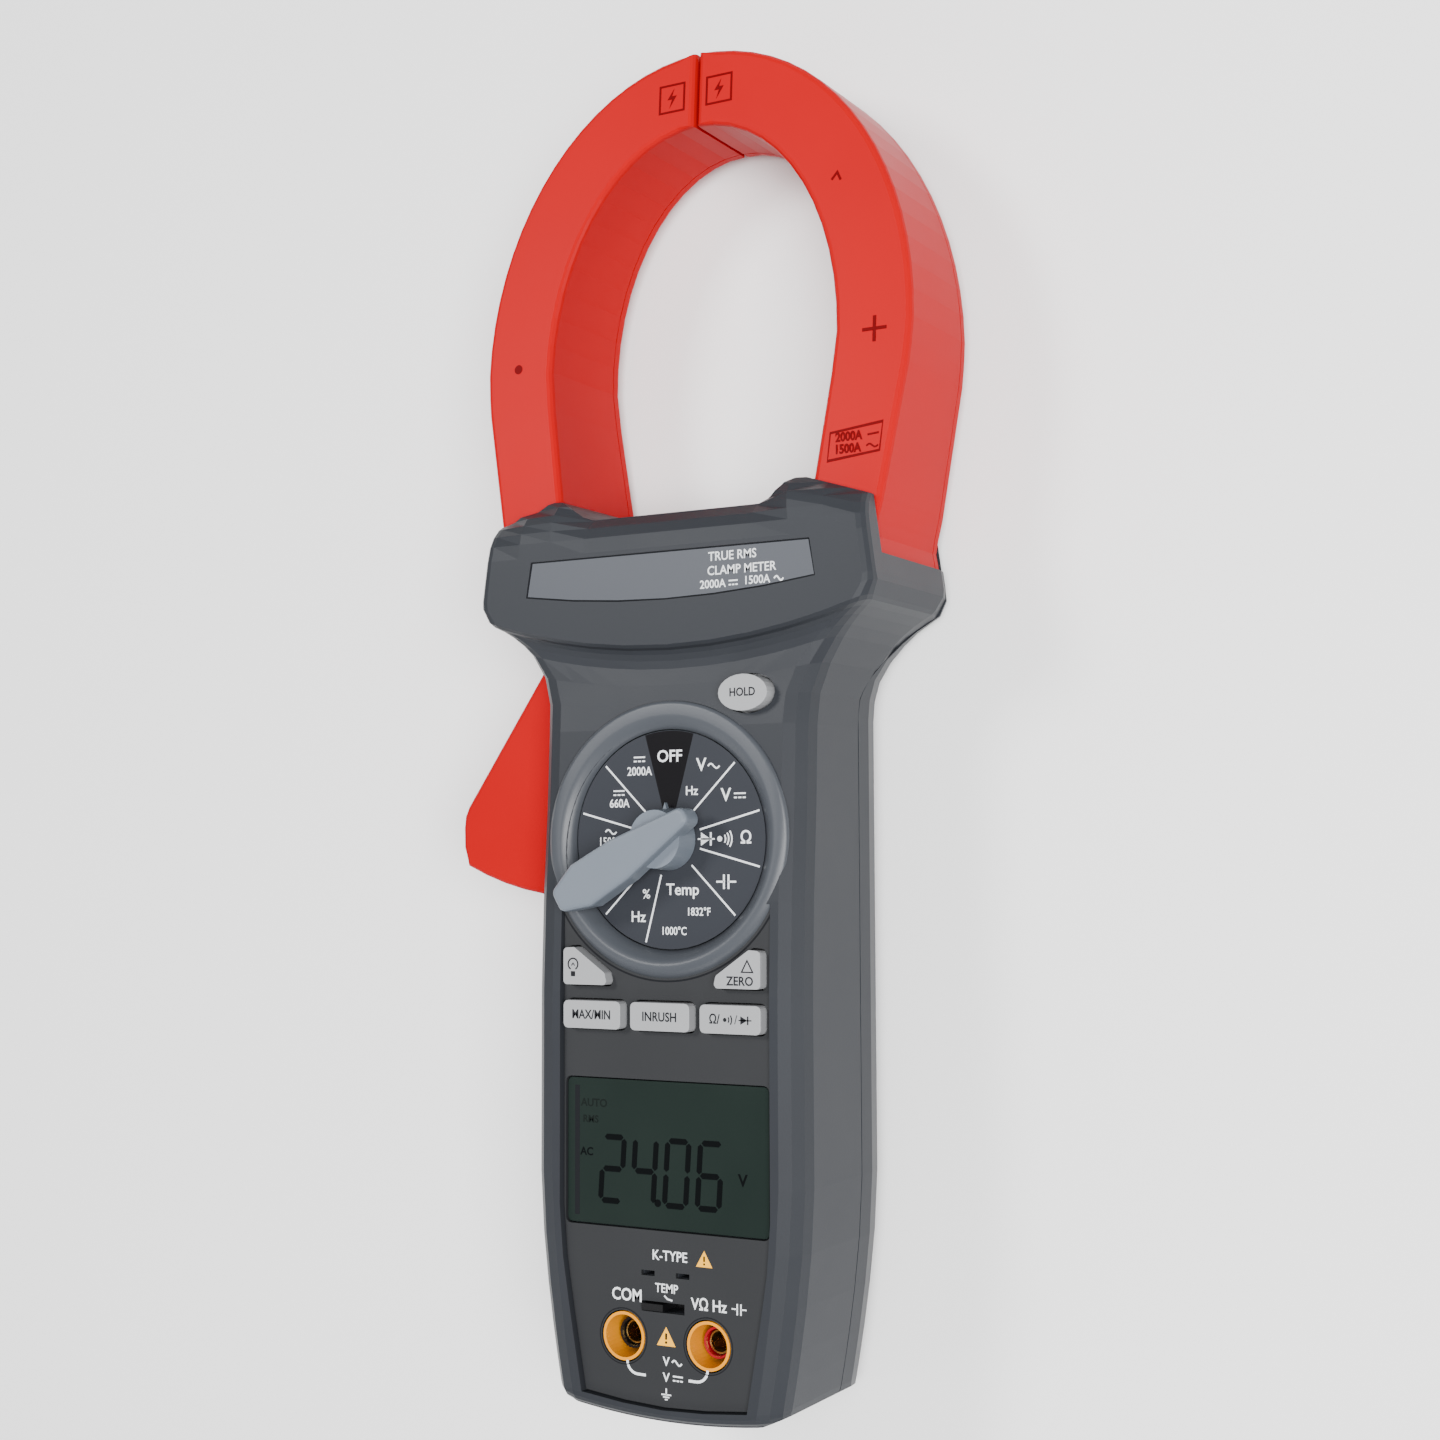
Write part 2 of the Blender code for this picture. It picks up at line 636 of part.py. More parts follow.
def make_front_shell():
    shell = housing_form("front_shell", OUTER_ROWS, "housing")
    cavity = housing_form("front_cavity", INNER_ROWS, None, WALL, DEPTH_INSIDE, (0.0,))
    cut(shell, [cavity] + plan_trimmer("front_trim") + [parting("front_parting", True)])
    join(shell, shell_joins(True))
    cuts = jaw_room("front_room")
    cuts.append(cylinder("dial_recess", 0, 0, DIAL_RADIUS + GAP, 37.0, 39.0, sides=64))
    cuts.append(cylinder("dial_flare", 0, 0, DIAL_RADIUS + GAP, DIAL_TOP - 0.4, 42.8, top_radius=25.2,
                         sides=64))
    cuts.append(cylinder("dial_shaft_hole", 0, 0, 4.2, 30.0, 40.0))
    cuts.append(plate("panel_recess", [panel_outline(GAP)], PANEL_TOP - 0.8 - GAP, 50.0))
    cuts.append(plate("label_recess", [label_outline(GAP)], HEAD_TOP - 0.9, 50.0))
    cuts.append(plate("lcd_rebate", [rounded(-LCD_X - GAP, LCD_LOW - GAP, LCD_X + GAP, LCD_HIGH + GAP, 1.2)],
                      37.6, 45.0))
    cuts.append(plate("lcd_opening", [rounded(-21.6, -74.4, 21.6, -48.1, 1.0)], 30.0, 45.0))
    for key, outline in button_outlines().items():
        cuts.append(plate(f"{key}_hole", [offset(outline, 0.35)], 30.0, 50.0))
    for i, x in enumerate((-JACK_X, JACK_X)):
        cuts.append(cylinder(f"jack_hole_{i}", x, JACK_Y, JACK_RADIUS + 0.6 + GAP, 30.0, 50.0))
    cuts.append(box("shutter_slot", (-5.3, SLOT_Y - 1.0, 30.0), (4.3, SLOT_Y + 1.0, 50.0)))
    for i, x in enumerate((-3.9, 3.9)):
        cuts.append(box(f"thermocouple_slot_{i}", (x - 1.5, -84.4, 30.0), (x + 1.5, -83.4, 50.0)))
    for i, (x, y) in enumerate(CASE_SCREWS):
        cuts.append(cylinder(f"front_post_hole_{i}", x, y, 1.8, 5.0, 20.0, sides=16))
    for i, x in enumerate((-PIVOT_X, PIVOT_X)):
        cuts.append(cylinder(f"front_pin_hole_{i}", x, PIVOT_Y, PIN_RADIUS + GAP, 30.0, DEPTH_INSIDE + 1.0,
                             sides=20))
    return cut(shell, cuts)


def make_rear_shell():
    shell = housing_form("rear_shell", REAR_ROWS, "housing", 0.0, 24.0, (0.0,))
    cavity = housing_form("rear_cavity", INNER_ROWS, None, WALL, DEPTH_INSIDE, (0.0,))
    cut(shell, [cavity] + plan_trimmer("rear_trim") + [parting("rear_parting", False)])
    bay_outside = rounded(-16.0, -79.0, 16.0, -21.5, 1.0)
    bay_inside = rounded(-14.4, -77.4, 14.4, -23.1, 1.0)
    bay = plate("battery_bay", [bay_outside, bay_inside], 1.0, 13.0)
    joins = shell_joins(False) + [bay]
    joins.append(plate("battery_screw_post", [circle(0.0, -83.6, 4.2, 22)], 1.0, 6.0))
    join(shell, joins)
    cuts = jaw_room("rear_room")
    cuts.append(plate("battery_opening", [rounded(-13.7, -76.7, 13.7, -23.8, 1.5)], -1.0, 5.0))
    cuts.append(plate("battery_door_seat", [rounded(-18.3, -89.3, 18.3, -19.7, 3.0)], -1.0, 1.5))
    cuts.append(cylinder("battery_screw_hole", 0.0, -83.6, 1.7, -1.0, 5.0, sides=16))
    for i, (x, y) in enumerate(CASE_SCREWS):
        cuts.append(cylinder(f"rear_screw_hole_{i}", x, y, 1.8, -1.0, 8.0, sides=16))
        cuts.append(cylinder(f"rear_head_hole_{i}", x, y, 3.0, -1.0, 2.9, sides=20))
    for i, x in enumerate((-PIVOT_X, PIVOT_X)):
        cuts.append(cylinder(f"rear_pin_hole_{i}", x, PIVOT_Y, PIN_RADIUS + GAP, 2.2, 12.0, sides=20))
    return cut(shell, cuts)


def make_panel():
    """The printed panel, its openings following the parts that come through it."""
    holes = [rounded(-LCD_X, LCD_LOW, LCD_X, LCD_HIGH, 1.2)]
    for key, outline in button_outlines().items():
        if key != "hold_button":
            holes.append(offset(outline, 0.35))
    holes += [circle(x, JACK_Y, JACK_RADIUS + 0.9) for x in (-JACK_X, JACK_X)]
    holes.append([(-5.3, SLOT_Y - 1.0), (4.3, SLOT_Y - 1.0), (4.3, SLOT_Y + 1.0), (-5.3, SLOT_Y + 1.0)])
    for x in (-3.9, 3.9):
        holes.append([(x - 1.5, -84.4), (x + 1.5, -84.4), (x + 1.5, -83.4), (x - 1.5, -83.4)])
    plate("front_panel", [panel_outline()] + holes, PANEL_TOP - 0.8, PANEL_TOP, "panel")
    plate("head_label", [label_outline()], HEAD_TOP - 0.6, HEAD_TOP - 0.2, "housing")


# ---------------------------------------------------------------- jaws

def lean(target, low, high):
    """Slope a jaw piece's front and back, so the jaw is thinner at its tip."""
    middle = (low + high) / 2 * MM
    for vertex in target.data.vertices:
        along = vertex.co.y - JAW_REF_Y * MM
        slope = FRONT_SLOPE if vertex.co.z > middle else BACK_SLOPE
        vertex.co.z += slope * along
    return target


def make_jaw(side):
    """One jaw: deep cover with hub and gear, back cover, magnetic core and Hall sensor."""
    left = side < 0
    name = "left_jaw" if left else "right_jaw"

    def plan(points):
        return mirrored(points) if left else points

    lid_top = JAW_BACK + JAW_LID
    levels = [(lid_top + GAP, 0.0)] + rim(JAW_FRONT, JAW_EDGE)
    cover = stacked(f"{name}_cover", plan(jaw_outline()), levels, "red")
    lean(cover, lid_top, JAW_FRONT)
    hollow = plate(f"{name}_hollow", [plan(core_outline(0.6))], -10.0, JAW_FRONT - JAW_WALL)
    lean(hollow, -50.0, JAW_FRONT)
    cut(cover, [hollow])
    arm = plate(f"{name}_arm", [plan(arm_outline())], ARM_BOTTOM, ARM_TOP)
    hub = cylinder(f"{name}_hub", side * PIVOT_X, PIVOT_Y, HUB_RADIUS, ARM_BOTTOM, ARM_TOP, sides=28)
    pitch = 360.0 / TEETH
    angles = (-pitch, 0.0) if left else (-1.5 * pitch, -0.5 * pitch)
    sector = plate(f"{name}_sector", [sector_outline(angles, side)], ARM_BOTTOM, GEAR_TOP)
    pieces = [arm, hub, sector]
    if left:
        pieces.append(plate(f"{name}_tongue", [tongue_outline()], TONGUE_BOTTOM, TONGUE_TOP))
    join(cover, pieces)
    near, far = sorted((side * 24.0, side * 60.0))
    holes = [box(f"{name}_root_face", (near, 40.0, ROOT_TOP), (far, 64.0, 50.0)),
             cylinder(f"{name}_bore", side * PIVOT_X, PIVOT_Y, PIN_RADIUS + GAP, 0.0, 40.0, sides=24)]
    if left:
        holes.append(cylinder("tongue_bore", *TRIGGER_PIN, 1.8, 5.0, 30.0, sides=16))
    cut(cover, holes)
    back_levels = rim(JAW_BACK, 0.8, False, 2) + [(lid_top, 0.0)]
    back = stacked(f"{name}_back", plan(jaw_outline()), back_levels, "red")
    for vertex in back.data.vertices:
        vertex.co.z += BACK_SLOPE * (vertex.co.y - JAW_REF_Y * MM)
    core_low, core_high = lid_top + 2.2, JAW_FRONT - JAW_WALL - 1.0
    core = plate(f"{name}_core", [plan(core_outline())], core_low, core_high, "steel")
    lean(core, core_low, core_high)
    middle = (OUTER_Y + OUTER_B + INNER_Y + INNER_B) / 2
    near, far = sorted((side * 1.2, side * 3.1))
    sensor = box(f"{name}_hall_sensor", (near, middle - 3.2, 11.5), (far, middle + 3.2, 20.5), "black")
    near, far = sorted((side * 0.9, side * 5.0))
    cut(cover, [box(f"{name}_sensor_pocket", (near, middle - 3.6, -5.0), (far, middle + 3.6, 21.0))])
    for piece in (cover, back, core, sensor):
        set_origin(piece, side * PIVOT_X, PIVOT_Y, 0.0)
    cylinder(f"{name}_pin", side * PIVOT_X, PIVOT_Y, PIN_RADIUS, 2.6, DEPTH_INSIDE + 0.6, "steel", sides=24)


def make_trigger():
    levels = rim(TRIGGER_BOTTOM, 0.8, False, 2) + rim(TRIGGER_TOP, 1.2)
    trigger = stacked("trigger", trigger_outline(), levels, "red")
    pocket = plate("tongue_pocket", [offset(tongue_outline(), GAP)], TONGUE_BOTTOM - GAP, TONGUE_TOP + GAP)
    cut(trigger, [pocket, cylinder("trigger_pin_bore", *TRIGGER_PIN, 1.8, 5.0, 30.0, sides=16)])
    set_origin(trigger, -PIVOT_X, PIVOT_Y, 0.0)
    pin = cylinder("trigger_pin", *TRIGGER_PIN, 1.5, TRIGGER_BOTTOM + 0.2, TRIGGER_TOP - 0.2, "steel",
                   sides=16)
    set_origin(pin, -PIVOT_X, PIVOT_Y, 0.0)


def make_spring():
    """The torsion spring round the left pivot pin, with a leg at each end."""
    turns, wire, radius = 4, 0.5, 3.9
    curve = bpy.data.curves.new("jaw_spring", "CURVE")
    curve.dimensions = "3D"
    curve.bevel_depth = wire * MM
    curve.bevel_resolution = 1
    curve.use_fill_caps = True
    curve.render_resolution_u = 0
    points = [(-PIVOT_X + radius, PIVOT_Y - 7.0, 26.0)]
    per_turn = 10
    for i in range(turns * per_turn + 1):
        a = math.tau * i / per_turn
        points.append((-PIVOT_X + radius * math.cos(a), PIVOT_Y + radius * math.sin(a),
                       26.0 + 5.4 * i / (turns * per_turn)))
    points.append((-PIVOT_X + radius, PIVOT_Y + 7.0, 31.4))
    spline = curve.splines.new("POLY")
    spline.points.add(len(points) - 1)
    for point, place in zip(spline.points, points):
        point.co = (place[0] * MM, place[1] * MM, place[2] * MM, 1.0)
    spring = bpy.data.objects.new("jaw_spring", curve)
    curve.materials.append(material("steel"))
    PARTS.objects.link(spring)


# ---------------------------------------------------------------- controls

def lever_outline():
    """The knob's lever seen from the front, along its own length."""
    return rounded_corners([(-9.6, -1.7), (8.0, -4.4), (18.0, -4.7), (24.6, -2.3), (24.6, 2.3), (18.0, 4.7),
                            (8.0, 4.4), (-9.6, 1.7)], 1.5, 3)


def make_selector():
    turned("dial_plate", 0, 0, [(4.6, DIAL_TOP - DIAL_PLATE), (DIAL_RADIUS, DIAL_TOP - DIAL_PLATE),
                                (DIAL_RADIUS, DIAL_TOP), (4.6, DIAL_TOP)], "dial", 64)
    knob = cylinder("selector_knob", 0, 0, KNOB_HUB, DIAL_TOP + GAP, 44.0, "knob", top_radius=5.7, sides=40)
    lever = stacked("knob_lever", lever_outline(), [(42.0, 0.0)] + rim(46.8, 0.9), None)
    lever.rotation_euler.z = math.radians(90.0 - KNOB_AT)
    shaft = cylinder("knob_shaft", 0, 0, 3.8, 32.5, 39.5, sides=24)
    pointer = plate("knob_pointer", [[(5.2, -0.7), (7.2, 0.0), (5.2, 0.7)]], 39.0, 40.0)
    pointer.rotation_euler.z = math.radians(90.0)
    join(knob, [lever, shaft, pointer])
    rotor = turned("selector_rotor", 0, 0, [(4.1, 31.9), (15.0, 31.9), (15.0, 33.5), (6.5, 33.5), (6.5, 34.6),
                                            (4.1, 34.6)], "white", 40)
    return knob, rotor


def make_buttons():
    for name, outline in button_outlines().items():
        top = 40.6 if name == "hold_button" else BUTTON_TOP
        button = plate(name, [outline], 33.9, top, "keys")
        bevel(button, 0.5, 2, 50)
        flange = plate(f"{name}_flange", [offset(outline, 1.0)], 33.9, 34.9)
        join(button, [flange])
        middle_x = sum(x for x, _ in outline) / len(outline)
        middle_y = sum(y for _, y in outline) / len(outline)
        set_origin(button, middle_x, middle_y, top)
    keypad = [(-25.0, -40.0), (25.0, -40.0), (25.0, 34.0), (11.0, 34.0), (11.0, 20.0), (17.0, 18.0),
              (17.0, -17.0), (-25.0, -17.0)]
    plate("keypad_mat", [keypad], BOARD_TOP + GAP, 32.9, "rubber")


def make_display():
    plate("lcd_window", [rounded(-LCD_X + GAP, LCD_LOW + GAP, LCD_X - GAP, LCD_HIGH - GAP, 1.0)], 37.9, 39.7,
          "glass")
    plate("lcd_glass", [rounded(-21.2, -74.0, 21.2, -48.5, 0.4)], 35.5, 37.3, "glass")
    plate("lcd_backlight", [rounded(-20.4, -71.6, 20.4, -50.9, 0.5)], 32.6, 34.4, "white")
    plate("lcd_frame", [rounded(-24.6, -77.6, 24.6, -45.0, 1.0), rounded(-20.8, -74.4, 20.8, -48.1, 0.8)],
          BOARD_TOP + GAP, 34.9, "black")
    for name, low in (("zebra_strip_lower", -74.0), ("zebra_strip_upper", -50.3)):
        box(name, (-19.6, low, BOARD_TOP + GAP), (19.6, low + 1.8, 35.2), "rubber")


# ---------------------------------------------------------------- electronics

def make_boards():
    board = plate("main_board", [[(-25.0, -81.5), (25.0, -81.5), (26.0, -74.0), (26.5, 20.0), (25.5, 35.5),
                                  (-25.5, 35.5), (-26.5, 20.0), (-26.0, -74.0)], circle(0.0, 0.0, 4.6, 24)],
                  BOARD_BOTTOM, BOARD_TOP, "board")
    plate("jack_board", [rounded(-13.2, -103.0, 13.2, -81.0, 1.0)], 14.6, 16.2, "board")
    cylinder("buzzer", 16.0, 4.0, 6.5, 24.0, BOARD_BOTTOM - GAP, "black", sides=28)
    return board


def make_jacks():
    for side, name in ((-1, "com_jack"), (1, "volt_jack")):
        x = side * JACK_X
        turned(f"{name}_sleeve", x, JACK_Y, [(3.4, 24.0), (4.7, 24.0), (4.7, 40.0), (JACK_RADIUS, 40.0),
                                             (JACK_RADIUS, 25.8), (3.4, 25.8)], "yellow")
        look = "black" if side < 0 else "red"
        turned(f"{name}_insulator", x, JACK_Y, [(2.6, 19.0), (3.05, 19.0), (3.05, 36.4), (2.6, 36.4)],
               look, 24)
        turned(f"{name}_contact", x, JACK_Y, [(0.0, 16.5), (2.3, 16.5), (2.3, 35.4), (2.0, 35.4), (2.0, 18.0),
                                              (0.0, 18.0)], "brass", 24)
    for side, name in ((-1, "thermocouple_contact_left"), (1, "thermocouple_contact_right")):
        x = side * 3.9
        box(name, (x - 1.2, -82.9, 16.5), (x + 1.2, -82.3, 34.0), "brass")
    shutter = box("jack_shutter", (-9.3, SLOT_Y - 1.1, 33.8), (1.4, SLOT_Y + 1.1, 34.9), "black")
    tab = box("shutter_tab", (-4.9, SLOT_Y - 0.65, 34.0), (-0.1, SLOT_Y + 0.65, 40.9))
    join(shutter, [tab])


def make_battery():
    cover = plate("battery_cover", [rounded(-18.0, -89.0, 18.0, -20.0, 2.7)], 0.0, 1.2, "housing")
    cut(cover, [cylinder("battery_cover_hole", 0.0, -83.6, 1.8, -1.0, 5.0, sides=16),
                cylinder("battery_cover_sink", 0.0, -83.6, 3.1, -1.0, 0.7, sides=20)])
    low, high = BATTERY_Y
    battery = box("battery", (-13.1, low, 3.4), (13.1, high, 20.6), "steel")
    bevel(battery, 1.0, 2, 50)
    box("battery_terminal_block", (-12.5, high + 0.4, 5.5), (12.5, high + 2.6, 18.5), "black")
    screw("battery_cover_screw", 0.0, -83.6, 0.0, 4.6, 1.4, 2.6)


def screw(name, x, y, z0, z1, shank, head):
    """A cross-head screw, its head down, with a shank up to z1."""
    sink = 0.5
    made = turned(name, x, y, [(0.0, z0 + 0.1), (head, z0 + 0.1), (head, z0 + sink), (shank, z0 + sink + 0.1),
                               (shank, z1), (0.0, z1)], "steel", 20)
    slots = [box(f"{name}_slot_{i}", (x - a, y - b, z0 - 1.0), (x + a, y + b, z0 + 0.35))
             for i, (a, b) in enumerate(((head * 0.6, 0.25), (0.25, head * 0.6)))]
    return cut(made, slots)


def make_case_screws():
    for i, (x, y) in enumerate(CASE_SCREWS):
        head = turned(f"case_screw_{i + 1}", x, y,
                      [(0.0, 0.9), (2.6, 0.9), (2.6, 2.6), (1.4, 2.6), (1.4, 17.0), (0.0, 17.0)], "steel", 20)
        slots = [box(f"case_screw_{i}_slot_{k}", (x - a, y - b, 0.0), (x + a, y + b, 1.8))
                 for k, (a, b) in enumerate(((1.6, 0.3), (0.3, 1.6)))]
        cut(head, slots)


make_front_shell()
make_rear_shell()
make_panel()
make_jaw(-1)
make_jaw(1)
make_trigger()
make_spring()
make_selector()
make_buttons()
make_display()
make_boards()
make_jacks()
make_battery()
make_case_screws()
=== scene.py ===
"""Looks for the clamp meter: materials, printed marks, small mouldings, light and camera."""

import math

import bmesh
import bpy
from mathutils import Matrix, Vector


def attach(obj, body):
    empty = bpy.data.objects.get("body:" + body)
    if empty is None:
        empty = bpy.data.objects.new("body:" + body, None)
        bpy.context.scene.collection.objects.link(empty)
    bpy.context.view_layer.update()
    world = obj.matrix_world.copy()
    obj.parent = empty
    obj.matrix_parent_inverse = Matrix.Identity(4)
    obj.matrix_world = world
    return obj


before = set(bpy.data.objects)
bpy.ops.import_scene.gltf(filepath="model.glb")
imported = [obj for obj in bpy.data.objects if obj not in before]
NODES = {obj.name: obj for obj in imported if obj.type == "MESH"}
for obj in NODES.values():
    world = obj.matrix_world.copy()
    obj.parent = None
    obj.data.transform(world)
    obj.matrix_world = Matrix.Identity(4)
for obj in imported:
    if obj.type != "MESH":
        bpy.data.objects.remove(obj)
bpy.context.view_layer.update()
MM = 0.001

# Heights in millimetres of the faces that carry printing.
PANEL, DIAL, LABEL, KEYS, HOLD, DISPLAY = 40.1, 38.2, 39.6, 42.2, 40.6, 39.7

# The jaws' front faces are JAW_FACE high at one place along Y and slope down towards the tips:
# JAW_SLOPE is the rise for each millimetre of Y, and that place.
JAW_FACE = 31.0
JAW_SLOPE = (-0.067, 96.75)


# ---------------------------------------------------------------- materials

def linear(colour):
    """An sRGB colour of 0-255 values as linear light."""
    out = []
    for value in colour:
        v = value / 255.0
        out.append(v / 12.92 if v <= 0.04045 else ((v + 0.055) / 1.055) ** 2.4)
    return (*out, 1.0)


def plastic(name, colour, roughness=0.45, grain=0.12, grain_scale=2600.0, mottle=0.03, metallic=0.0,
            specular=0.3):
    """A moulded surface: fine spark-eroded grain, and a slight unevenness in gloss and colour."""
    made = bpy.data.materials.new(name)
    made.use_nodes = True
    tree = made.node_tree
    shader = tree.nodes["Principled BSDF"]
    shader.inputs["Roughness"].default_value = roughness
    shader.inputs["Metallic"].default_value = metallic
    shader.inputs["Specular IOR Level"].default_value = specular
    shader.inputs["Base Color"].default_value = linear(colour)
    where = tree.nodes.new("ShaderNodeTexCoord")
    if mottle:
        patches = tree.nodes.new("ShaderNodeTexNoise")
        patches.inputs["Scale"].default_value = 55.0
        patches.inputs["Detail"].default_value = 4.0
        tree.links.new(where.outputs["Object"], patches.inputs["Vector"])
        ramp = tree.nodes.new("ShaderNodeValToRGB")
        base = linear(colour)
        ramp.color_ramp.elements[0].position = 0.3
        ramp.color_ramp.elements[1].position = 0.7
        ramp.color_ramp.elements[0].color = (*(c * (1 - mottle) for c in base[:3]), 1.0)
        ramp.color_ramp.elements[1].color = (*(min(1.0, c * (1 + mottle)) for c in base[:3]), 1.0)
        tree.links.new(patches.outputs["Fac"], ramp.inputs["Fac"])
        tree.links.new(ramp.outputs["Color"], shader.inputs["Base Color"])
        gloss = tree.nodes.new("ShaderNodeMapRange")
        gloss.inputs["To Min"].default_value = max(0.02, roughness - 0.05)
        gloss.inputs["To Max"].default_value = min(1.0, roughness + 0.05)
        tree.links.new(patches.outputs["Fac"], gloss.inputs["Value"])
        tree.links.new(gloss.outputs["Result"], shader.inputs["Roughness"])
    if grain:
        pits = tree.nodes.new("ShaderNodeTexNoise")
        pits.inputs["Scale"].default_value = grain_scale
        pits.inputs["Detail"].default_value = 2.0
        tree.links.new(where.outputs["Object"], pits.inputs["Vector"])
        bump = tree.nodes.new("ShaderNodeBump")
        bump.inputs["Strength"].default_value = grain
        bump.inputs["Distance"].default_value = 0.0001
        tree.links.new(pits.outputs["Fac"], bump.inputs["Height"])
        tree.links.new(bump.outputs["Normal"], shader.inputs["Normal"])
    return made


def turned_metal(name, colour, roughness, scale):
    """Metal with fine turning marks."""
    made = plastic(name, colour, roughness, 0.0, mottle=0.04, metallic=1.0)
    tree = made.node_tree
    shader = tree.nodes["Principled BSDF"]
    where = tree.nodes.new("ShaderNodeTexCoord")
    lines = tree.nodes.new("ShaderNodeTexWave")
    lines.bands_direction = "Z"
    lines.inputs["Scale"].default_value = scale
    lines.inputs["Distortion"].default_value = 1.5
    tree.links.new(where.outputs["Object"], lines.inputs["Vector"])
    bump = tree.nodes.new("ShaderNodeBump")
    bump.inputs["Strength"].default_value = 0.15
    bump.inputs["Distance"].default_value = 0.0001
    tree.links.new(lines.outputs["Color"], bump.inputs["Height"])
    tree.links.new(bump.outputs["Normal"], shader.inputs["Normal"])
    return made


HOUSING = plastic("moulded_grey", (41, 43, 47), 0.42, 0.10, 2400.0, 0.03, specular=0.13)
PRINTED = plastic("printed_panel", (37, 38, 40), 0.5, 0.05, 3200.0, 0.02, specular=0.2)
FACE = plastic("dial_face", (43, 45, 50), 0.5, 0.05, 3200.0, 0.02, specular=0.1)
INLAY = plastic("label_inlay", (62, 65, 71), 0.4, 0.05, 3200.0, 0.02, specular=0.25)
RED = plastic("jaw_red", (164, 0, 10), 0.34, 0.03, 1500.0, 0.02, specular=0.04)
TRIGGER = plastic("trigger_red", (160, 0, 10), 0.38, 0.06, 2200.0, 0.02, specular=0.04)
KEY = plastic("key_grey", (138, 139, 141), 0.5, 0.08, 3000.0, 0.02)
KNOB = plastic("knob_grey", (94, 101, 110), 0.42, 0.08, 2600.0, 0.02)
YELLOW = plastic("sleeve_yellow", (212, 136, 10), 0.35, 0.04, 2600.0, 0.02)
BLACK = plastic("black_plastic", (12, 12, 14), 0.42, 0.06, 2600.0, 0.05)
DARK_RED = plastic("insulator_red", (140, 8, 26), 0.35, 0.04, 2600.0, 0.03)
DISPLAY_FACE = plastic("display_face", (22, 31, 28), 0.3, 0.0, mottle=0.02, specular=0.2)
RUBBER = plastic("keypad_rubber", (52, 54, 58), 0.8, 0.2, 1800.0, 0.05)
BOARD = plastic("solder_mask", (26, 96, 58), 0.35, 0.05, 900.0, 0.10)
WHITE = plastic("white_plastic", (226, 227, 224), 0.5, 0.05, 2000.0, 0.02)
BATTERY = plastic("battery_sleeve", (60, 62, 70), 0.3, 0.03, 900.0, 0.04)
CORE = plastic("core_laminations", (118, 120, 124), 0.45, 0.1, 900.0, 0.08, metallic=1.0)
STEEL = turned_metal("turned_steel", (176, 178, 182), 0.3, 900.0)
BRASS = turned_metal("turned_brass", (196, 160, 92), 0.28, 900.0)
INK_WHITE = plastic("white_ink", (214, 217, 219), 0.6, 0.0, mottle=0.0)
INK_BLACK = plastic("black_ink", (10, 9, 12), 0.6, 0.0, mottle=0.0, specular=0.1)
INK_KEY = plastic("key_ink", (26, 27, 30), 0.6, 0.0, mottle=0.0, specular=0.1)
INK_YELLOW = plastic("yellow_ink", (236, 170, 34), 0.6, 0.0, mottle=0.0)
SEGMENT = plastic("display_segment", (5, 7, 8), 0.5, 0.0, mottle=0.0, specular=0.05)
FAINT = plastic("display_faint", (13, 19, 17), 0.5, 0.0, mottle=0.0, specular=0.1)
# Dark lines for seams and joints; also painted shade along the display's left edge.
SEAM_AND_SHADE = plastic("seam_shadow", (20, 21, 24), 0.7, 0.0, mottle=0.0, specular=0.1)
BEZEL = plastic("bezel_grey", (60, 63, 68), 0.38, 0.10, 2400.0, 0.03, specular=0.3)
# Dark red painted shade for the signs sunk into the jaws.
SUNK_SHADE_RED = plastic("sunk_shade_red", (92, 0, 5), 0.45, 0.0, mottle=0.0, specular=0.04)

LOOKS = {
    HOUSING: ("front_shell", "rear_shell", "battery_cover"),
    PRINTED: ("front_panel",),
    INLAY: ("head_label",),
    FACE: ("dial_plate",),
    RED: ("left_jaw_cover", "left_jaw_back", "right_jaw_cover", "right_jaw_back"),
    TRIGGER: ("trigger",),
    KEY: ("lamp_button", "zero_button", "max_min_button", "inrush_button", "function_button", "hold_button"),
    KNOB: ("selector_knob",),
    YELLOW: ("com_jack_sleeve", "volt_jack_sleeve"),
    BLACK: ("com_jack_insulator", "lcd_frame", "buzzer", "battery_terminal_block", "jack_shutter",
            "left_jaw_hall_sensor", "right_jaw_hall_sensor"),
    DARK_RED: ("volt_jack_insulator",),
    DISPLAY_FACE: ("lcd_glass", "lcd_window"),
    RUBBER: ("keypad_mat", "zebra_strip_lower", "zebra_strip_upper"),
    BOARD: ("main_board", "jack_board"),
    WHITE: ("lcd_backlight", "selector_rotor"),
    BATTERY: ("battery",),
    CORE: ("left_jaw_core", "right_jaw_core"),
    STEEL: ("battery_cover_screw", "case_screw_1", "case_screw_2", "case_screw_3", "case_screw_4",
            "left_jaw_pin", "right_jaw_pin", "trigger_pin", "jaw_spring"),
    BRASS: ("com_jack_contact", "volt_jack_contact", "thermocouple_contact_left",
            "thermocouple_contact_right"),
}
for look, names in LOOKS.items():
    for name in names:
        NODES[name].data.materials.clear()
        NODES[name].data.materials.append(look)


# ---------------------------------------------------------------- printed marks

def add_piece(name, mesh, look, body):
    """Put a mesh in the scene as a piece that moves with a body."""
    made = bpy.data.objects.new(name, mesh)
    mesh.materials.append(look)
    bpy.context.scene.collection.objects.link(made)
    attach(made, body)


